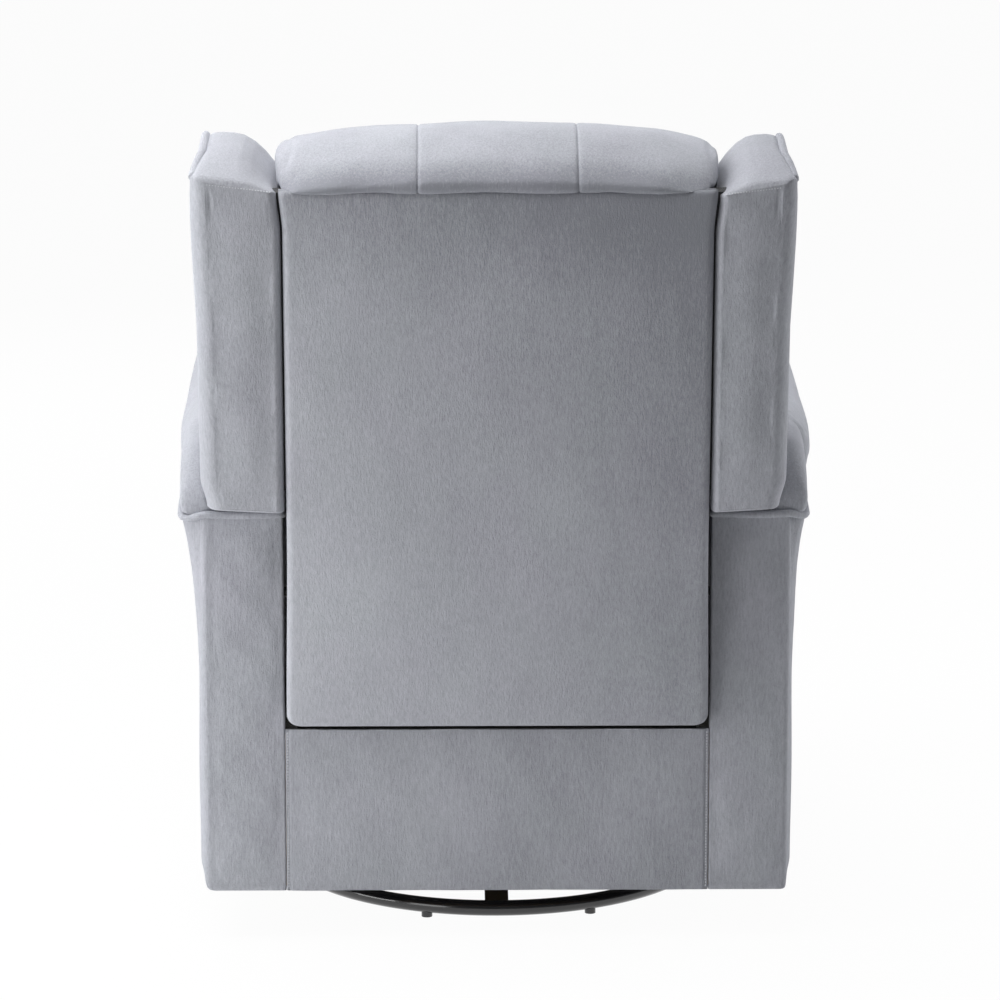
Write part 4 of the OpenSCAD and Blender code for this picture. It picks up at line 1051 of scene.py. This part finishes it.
def lower_panel():
    """The rear panel sewn between the arms: a flat sheet with a soft swell of 2 mm, drawn in by 2 mm along
    its stitches."""
    half, margin, top = SEAT_HALF - 0.0006, 0.012, 0.2722
    rim = np.linspace(0, margin, 9)
    middle = np.linspace(-half + margin, half - margin, 100)
    x = np.concatenate([-half + rim[:-1], middle, half - rim[-2::-1]])
    rows = np.linspace(BODY_LOW + 0.003, 0.269, 60)
    gx, gz = np.meshgrid(x, np.concatenate([[BODY_LOW, BODY_LOW + 0.001], rows, [top - 0.0012, top]]))
    edge = half - np.abs(gx)
    swell = 0.0022 * (1 - (gx / half) ** 6) * np.sin(math.pi * np.clip((gz - BODY_LOW) / 0.208, 0, 1)) ** 0.6
    seam = 0.0022 * np.exp(-(((edge - 0.0035) / 0.0016) ** 2)) + 0.0012 * round_share(edge, 0.004)
    ripple = 0.0006 * np.sin(gx * 31 + gz * 12) + 0.0004 * np.sin(gx * 71 - gz * 40)
    outer = ARM_REAR + swell - seam + ripple * np.clip(edge / 0.02, 0, 1)
    sheet = np.stack([gx, outer, gz], -1)
    behind = np.stack([gx, np.full_like(gx, ARM_REAR - 0.0035), gz], -1)[:, ::-1]
    return piece("lower_panel", *lofted(np.concatenate([sheet, behind], 1)))


# Side outlines of the seat cushion and of the footrest's pad, as shares of their depth and height
SEAT_SHARES = [
    [0.004, 0.25], [0, 0.60], [0.020, 0.86], [0.090, 0.955], [0.300, 0.985], [0.550, 1], [0.800, 0.985],
    [0.930, 0.93], [0.988, 0.74], [1, 0.45], [0.985, 0.17], [0.950, 0], [0.880, -0.08], [0.500, -0.10],
    [0.080, -0.08], [0.015, 0.03],
]
SEAT_REAR = 0.200
SEAT_DEPTH = 0.672
SEAT_TALL = 0.146
FOOT_SHARES = [
    [-0.08, 0.50], [-0.08, 0.10], [0.05, 0.01], [0.45, 0], [0.82, 0.06], [0.96, 0.22], [1, 0.50],
    [0.96, 0.78], [0.82, 0.94], [0.45, 1], [0.05, 0.99], [-0.08, 0.90],
]
FOOT_REAR = -0.411
FOOT_LOW = 0.079
FOOT_DEPTH = 0.0649
FOOT_TALL = 0.268


def seat_cushion():
    """The seat cushion: its side outline carried across the seat, drawn in at its ends and stuffed, with a
    sewn groove across its front."""
    half = 0.2605
    outline = through(np.array(SEAT_SHARES) * [-SEAT_DEPTH, SEAT_TALL] + [SEAT_REAR, SEAT_TOP_STRAPS], 8)
    sections = []
    for share in side_shares(41):
        x = share * half
        line = drawn_in(outline, 0.003 + 0.024 * round_share(half - abs(x), 0.026) + 0.006 * abs(share) ** 3)
        line[:, 1] = np.maximum(line[:, 1], SEAT_TOP_STRAPS + 0.0005)
        sections.append(np.column_stack([np.full(len(line), x), line]))
    obj = piece("seat_cushion_cover", *lofted(sections))

    def reach(rest):
        top = eased((rest[:, 2] - 0.38) / 0.04)
        middle = 1 - np.clip(np.abs(rest[:, 0]) / 0.262, 0, 1) ** 8
        return 0.0008 + 0.011 * top * middle * eased((0.18 - rest[:, 1]) / 0.10)

    puffed(obj, 0.0072, reach)
    at = points_of(obj)
    at[:, 2] = np.maximum(at[:, 2], SEAT_TOP_STRAPS + 0.0004)
    at[:, 0] = np.clip(at[:, 0], -0.2612, 0.2640)
    at[:, 1] = np.maximum(at[:, 1], -0.4755)
    front = eased((-at[:, 1] - 0.36) / 0.03)
    fall = 0.0045 * round_share(np.abs(at[:, 2] - 0.462), 0.014) * front
    set_points(obj, at - normals_of(obj) * fall[:, None])
    return obj


def footrest_pad():
    """The footrest's pad: its side outline carried across the board, drawn in at its ends and stuffed."""
    half = 0.2585
    outline = through(np.array(FOOT_SHARES) * [-FOOT_DEPTH, FOOT_TALL] + [FOOT_REAR, FOOT_LOW], 8)
    sections = []
    for share in side_shares(41):
        x = share * half
        line = drawn_in(outline, 0.004 + 0.020 * round_share(half - abs(x), 0.022))
        line[:, 0] = np.minimum(line[:, 0], FOOT_REAR - 0.0005)
        sections.append(np.column_stack([np.full(len(line), x), line]))
    obj = piece("footrest_cushion", *lofted(sections))
    puffed(obj, 0.0062, lambda rest: 0.0008 + 0.0042 * eased((-rest[:, 1] - 0.425) / 0.02))
    at = points_of(obj)
    at[:, 1] = np.clip(at[:, 1], -0.4765, FOOT_REAR - 0.0003)
    set_points(obj, at)
    return obj


def strap(lowest, highest, across, along):
    """A woven strap: a thin band from lowest to highest, with rounded edges. Across is its wide axis and
    along its long one."""
    low, high = np.array(lowest, float), np.array(highest, float)
    middle, half = (low + high) / 2, (high - low) / 2
    flat = 3 - across - along
    w = np.linspace(-1, 1, 15)
    edge = np.sqrt(np.maximum(1 - np.abs(w) ** 10, 0.05))
    points = np.zeros((40, 2 * len(w), 3))
    points[..., across] = middle[across] + np.concatenate([w, w[::-1]]) * half[across]
    points[..., flat] = middle[flat] + np.concatenate([edge, -edge[::-1]]) * half[flat]
    points[..., along] = np.linspace(low[along], high[along], len(points))[:, None]
    return lofted(points)


def joined(name, shells):
    """One piece of several shells, each a pair of points and faces."""
    verts, faces, count = [], [], 0
    for points, blocks in shells:
        verts.append(points)
        faces += [block + count for block in blocks]
        count += len(points)
    return piece(name, np.concatenate(verts), faces)


def pull_tab():
    """The pull tab: one band of webbing round a loop and down its strap, on the sitter's right, carried
    across its width."""
    middle, low, high, thick, half_wide, bend = 0.2532, 0.336, 0.515, 0.0019, 0.0122, 0.01005
    turn = np.linspace(0, 2 * math.pi, 41)
    loop = np.stack([middle + bend * np.cos(turn), high + bend * np.sin(turn)], 1)
    down = np.stack([np.full(30, middle + bend), np.linspace(high, low, 30)], 1)[1:]
    path = np.concatenate([loop, down])
    ahead = unit(np.gradient(path, axis=0))
    out = np.stack([ahead[:, 1], -ahead[:, 0]], 1)
    w = np.concatenate([np.linspace(-1, 1, 13), np.linspace(1, -1, 13)])
    face = np.concatenate([np.ones(13), -np.ones(13)]) * np.sqrt(np.maximum(1 - np.abs(w) ** 12, 0.05))
    spot = path[:, None] + out[:, None] * (face * thick / 2)[None, :, None]
    y = -0.088 + np.broadcast_to(w * half_wide, spot.shape[:2])
    return piece("tab_strap", *lofted(np.stack([-spot[..., 0], y, spot[..., 1]], -1)))


def fine_ring():
    """The floor ring, drawn finer than its solid: a round tube carried round the solid's own middle
    circle."""
    rows, cols = 240, 28
    a = np.linspace(0, 2 * math.pi, rows, endpoint=False)[:, None]
    b = np.linspace(0, 2 * math.pi, cols, endpoint=False)[None]
    low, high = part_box("floor_ring")
    radius = (high.z - low.z) / 2
    ring = high.x - radius + radius * np.cos(b)
    height = np.broadcast_to((low.z + high.z) / 2 + radius * np.sin(b), (rows, cols))
    verts = np.stack([ring * np.cos(a), ring * np.sin(a), height], -1).reshape(-1, 3)
    faces = grid_faces(rows + 1, cols, wrap=True) % (rows * cols)
    return piece("ring_tube", verts, [outward(verts, faces)])


# Finishes of this chair
# Copies of one velvet, painted lighter or darker part by part: their shade factors and slopes paint light
# towards the sitter's left and downwards, and under paints the shadow beneath the head roll; their seeds only
# move the random nap
velvet_rear = velvet("velvet", 0.975, painted_light_slope=(0.95, 0.38))
velvet_wings = velvet("velvet_wings", 1.0, seed=5.3, painted_light_slope=(0.24, 0.0))
velvet_lower = velvet("velvet_lower", 0.97, seed=8.2, painted_light_slope=(0.30, 0.0))
velvet_sides = velvet("velvet_sides", 1.0, seed=3.1)
velvet_cushion = velvet("velvet_cushion", 1.05, seed=1.7, under=0.55)
sewing = thread("sewing_thread")
gloss_black = painted_steel("gloss_black_paint", (0.012, 0.012, 0.014), 0.12)
satin_black = painted_steel("satin_black_paint", (0.035, 0.035, 0.038), 0.38)
zinc = bare_steel("zinc_plate", (0.62, 0.63, 0.64), 0.30)
pine = wood("pine", (0.66, 0.50, 0.31), (0.44, 0.29, 0.15), 0)
dark_webbing = woven("dark_webbing", (0.020, 0.020, 0.023), (0.085, 0.085, 0.092), 0.0022)
# Black cloth, which also stands in for shade: painted shade on timber seen through gaps
black_cloth = woven("black_cloth", (0.010, 0.010, 0.011), (0.030, 0.030, 0.032), 0.0012)
black_sheath = painted_steel("black_sheath", (0.020, 0.020, 0.021), 0.42)

CARRIED = {
    gloss_black: ["ring_feet", "ring_spokes"],
    satin_black: [
        "platform_plate", "glide_plate_left", "glide_plate_right", "glide_rail_left", "glide_rail_right",
        "front_cross_rail", "rear_cross_rail", "mechanism_plate_left", "mechanism_plate_right",
        "front_swing_links", "rear_swing_links", "carrier_links", "relay_links", "footrest_brackets",
        "torque_tube", "front_glide_link_left", "front_glide_link_right", "rear_glide_link_left",
        "rear_glide_link_right", "hinge_bracket_left", "hinge_bracket_right", "release_bracket", "trip_lever",
        "lower_race", "upper_race", "recline_pins",
    ],
    zinc: ["bearing_balls", "centre_bolt", "upper_glide_pins", "lower_glide_pins", "linkage_studs"],
    pine: ["rear_base_board", "seat_rear_rail", "back_cross_rails", "footrest_board"],
    black_sheath: ["release_cable"],
    # Painted shade: frame timber that shows through gaps is dressed in the black cloth, so that it reads as
    # the shadow in those gaps
    black_cloth: [
        "wing_board_left", "wing_board_right", "arm_frame_left", "arm_frame_right", "seat_front_rail",
        "back_post_left", "back_post_right",
    ],
}
for finish, names in CARRIED.items():
    for name in names:
        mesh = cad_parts[name].data
        mesh.materials.clear()
        mesh.materials.append(finish)

# Each side's sign and name, how much lower and slimmer its wing is, and how much slimmer and less splayed
# its arm
SIDES = [(1, "left", -0.0030, -0.0026, -0.0012, 0.0), (-1, "right", 0.0008, 0.0078, 0.0022, 0.0046)]
PANEL_SEAM = 0.2612

finished(fine_ring(), gloss_black, "base", "black_steel", "floor_ring")
finished(rear_cover(), velvet_rear, "back", "velvet", "rear_cover_panel", fill=0.5)
# A closing cloth whose black also paints the shadow in the gap under the back
finished(dust_cloth(), black_cloth, "back", "webbing")
cushion = back_cushion()
sewn_roll(cushion)
finished(cushion, velvet_cushion, "back", "velvet", "back_cushion", fill=0.7)
for side, hand, lower, wing_slim, slim, splay in SIDES:
    finished(wing(side, lower, wing_slim), velvet_wings, "back", "velvet", "wing_" + hand, fill=0.5)
    finished(wing_roll(side, lower, wing_slim), velvet_wings, "back", "velvet")
    line = wing_stitches(side, lower, wing_slim)
    finished(stitched("wing_stitches_" + hand, line, 0.0034, 0.0022, 0.0007), sewing, "back", "velvet")
    finished(arm_cover(side, slim, splay), velvet_sides, "chair", "velvet", "arm_cover_" + hand)
    finished(arm_band(side, slim, splay), velvet_sides, "chair", "velvet")
    finished(arm_pad(side), velvet_sides, "chair", "velvet", "arm_pad_" + hand, fill=0.7)
    finished(arm_tail(side, slim + splay, wing_slim), velvet_sides, "chair", "velvet", fill=0.7)
    line = [[side * PANEL_SEAM, ARM_REAR + 0.0012, z] for z in (BODY_LOW + 0.006, 0.268)]
    finished(stitched("panel_stitches_" + hand, line, 0.0038, 0.0024, 0.0006), sewing, "chair", "velvet")
finished(lower_panel(), velvet_lower, "chair", "velvet", "lower_rear_panel")
finished(seat_cushion(), velvet_cushion, "chair", "velvet", "seat_cushion", fill=0.7)
finished(footrest_pad(), velvet_cushion, "footrest", "velvet", "footrest_pad", fill=0.7)

# Straps: their width and thickness, the seat's outer edge and count, and the back's first place and pitch
STRAP_WIDE = 0.050
STRAP_THICK = 0.003
STRAPS_HALF = 0.238
STRAPS_COUNT = 6
BANDS_LOW = 0.008
BANDS_PITCH = 0.1264

low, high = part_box("seat_straps")
places = -STRAPS_HALF + (np.arange(STRAPS_COUNT) + 0.5) * 2 * STRAPS_HALF / STRAPS_COUNT
straps = [
    strap((x - STRAP_WIDE / 2, low.y, low.z), (x + STRAP_WIDE / 2, high.y, high.z), 0, 1) for x in places
]
finished(joined("seat_webbing", straps), dark_webbing, "chair", "webbing", "seat_straps")
low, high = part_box("back_webbing")
bands = []
for z in BANDS_LOW + np.arange(1, 6) * BANDS_PITCH - STRAP_WIDE / 2:
    ends = (low.x, -BACK_FACE, z), (high.x, -BACK_FACE + STRAP_THICK, z + STRAP_WIDE)
    verts, faces = strap(*ends, 2, 0)
    bands.append((leaned(verts), faces))
finished(joined("back_bands", bands), dark_webbing, "back", "webbing", "back_webbing")
finished(pull_tab(), dark_webbing, "pull_tab", "webbing", "pull_tab")


# Floor, light and camera
FLOOR_HALF = 60
corners = [[x * FLOOR_HALF, y * FLOOR_HALF, 0] for x, y in ((-1, -1), (1, -1), (1, 1), (-1, 1))]
floor = piece("floor", corners, [[[0, 1, 2, 3]]], smooth=False)
paint = bpy.data.materials.new("pale_floor")
paint.use_nodes = True
floor.data.materials.append(paint)

# The floor is matt to the lamps, and nearly white to the camera and in reflections
n = Nodes(paint.node_tree)
rays = {0: n.node("LightPath", out="Is Camera Ray"), 1: n.node("LightPath", out="Is Glossy Ray")}
seen = n.node("Math", {"operation": "MAXIMUM"}, rays)
matt = n.node("BsdfDiffuse", {}, {"Color": (0.90, 0.90, 0.90)})
glow = n.node("Emission", {}, {"Color": (1.0, 1.0, 1.0)})
n.show(n.node("MixShader", {}, {0: seen * 0.965, 1: matt, 2: glow}))

world = bpy.data.worlds.new("studio")
bpy.context.scene.world = world
world.use_nodes = True
n = Nodes(world.node_tree)
room = n.node("Background", {}, {"Color": (0.95, 0.97, 1.0), "Strength": 0.147})
white = n.node("Background", {}, {"Color": (1.0, 1.0, 1.0), "Strength": 1.0})
seen = n.node("LightPath", out="Is Camera Ray")
n.show(n.node("MixShader", {}, {0: seen, 1: room, 2: white}), "OutputWorld")


def lamp(name, place, aim, size, power):
    """A softbox: an area light at a place, turned to face a point."""
    light = bpy.data.lights.new(name, "AREA")
    light.shape, light.size, light.size_y, light.energy = "RECTANGLE", size[0], size[1], power
    obj = bpy.data.objects.new(name, light)
    obj.location = place
    obj.rotation_euler = (Vector(aim) - Vector(place)).to_track_quat("-Z", "Y").to_euler()
    bpy.context.collection.objects.link(obj)


lamp("key", (1.9, 1.0, 0.7), (0.3, 0.2, 0.5), (0.9, 1.2), 18.4)
lamp("low_key", (1.15, 1.75, 0.35), (0.1, 0.4, 0.4), (0.7, 0.7), 4.4)
lamp("overhead", (0.1, 0.3, 2.9), (0, 0.2, 0.8), (2.0, 2.0), 33)
lamp("overhead_left", (1.0, 0.4, 2.1), (0, 0.25, 0.9), (1.2, 1.6), 24)
lamp("right_fill", (-2.7, -0.6, 1.1), (-0.4, 0.1, 0.6), (1.4, 1.6), 30)
lamp("front", (1.0, -3.2, 1.9), (0, 0, 0.5), (2.2, 1.8), 44)

# The camera: its place, how many degrees it looks down, how far along y it is from the point it is aimed at,
# and its focal length in millimetres
CAMERA_X = 0.06
CAMERA_Y = 6.3
CAMERA_Z = 1.928
CAMERA_DOWN = 12.9
CAMERA_TO_AIM = 5.87
CAMERA_LENS = 178.27

camera = bpy.data.objects.new("camera", bpy.data.cameras.new("camera"))
camera.data.lens, camera.data.sensor_width, camera.data.shift_x = CAMERA_LENS, 36, 0.002
camera.location = (CAMERA_X, CAMERA_Y, CAMERA_Z)
turned = math.pi - math.atan(CAMERA_X / CAMERA_TO_AIM)
camera.rotation_euler = (math.radians(90 - CAMERA_DOWN), 0, turned)
bpy.context.collection.objects.link(camera)
bpy.context.scene.camera = camera
bpy.context.scene.view_settings.view_transform = "Standard"
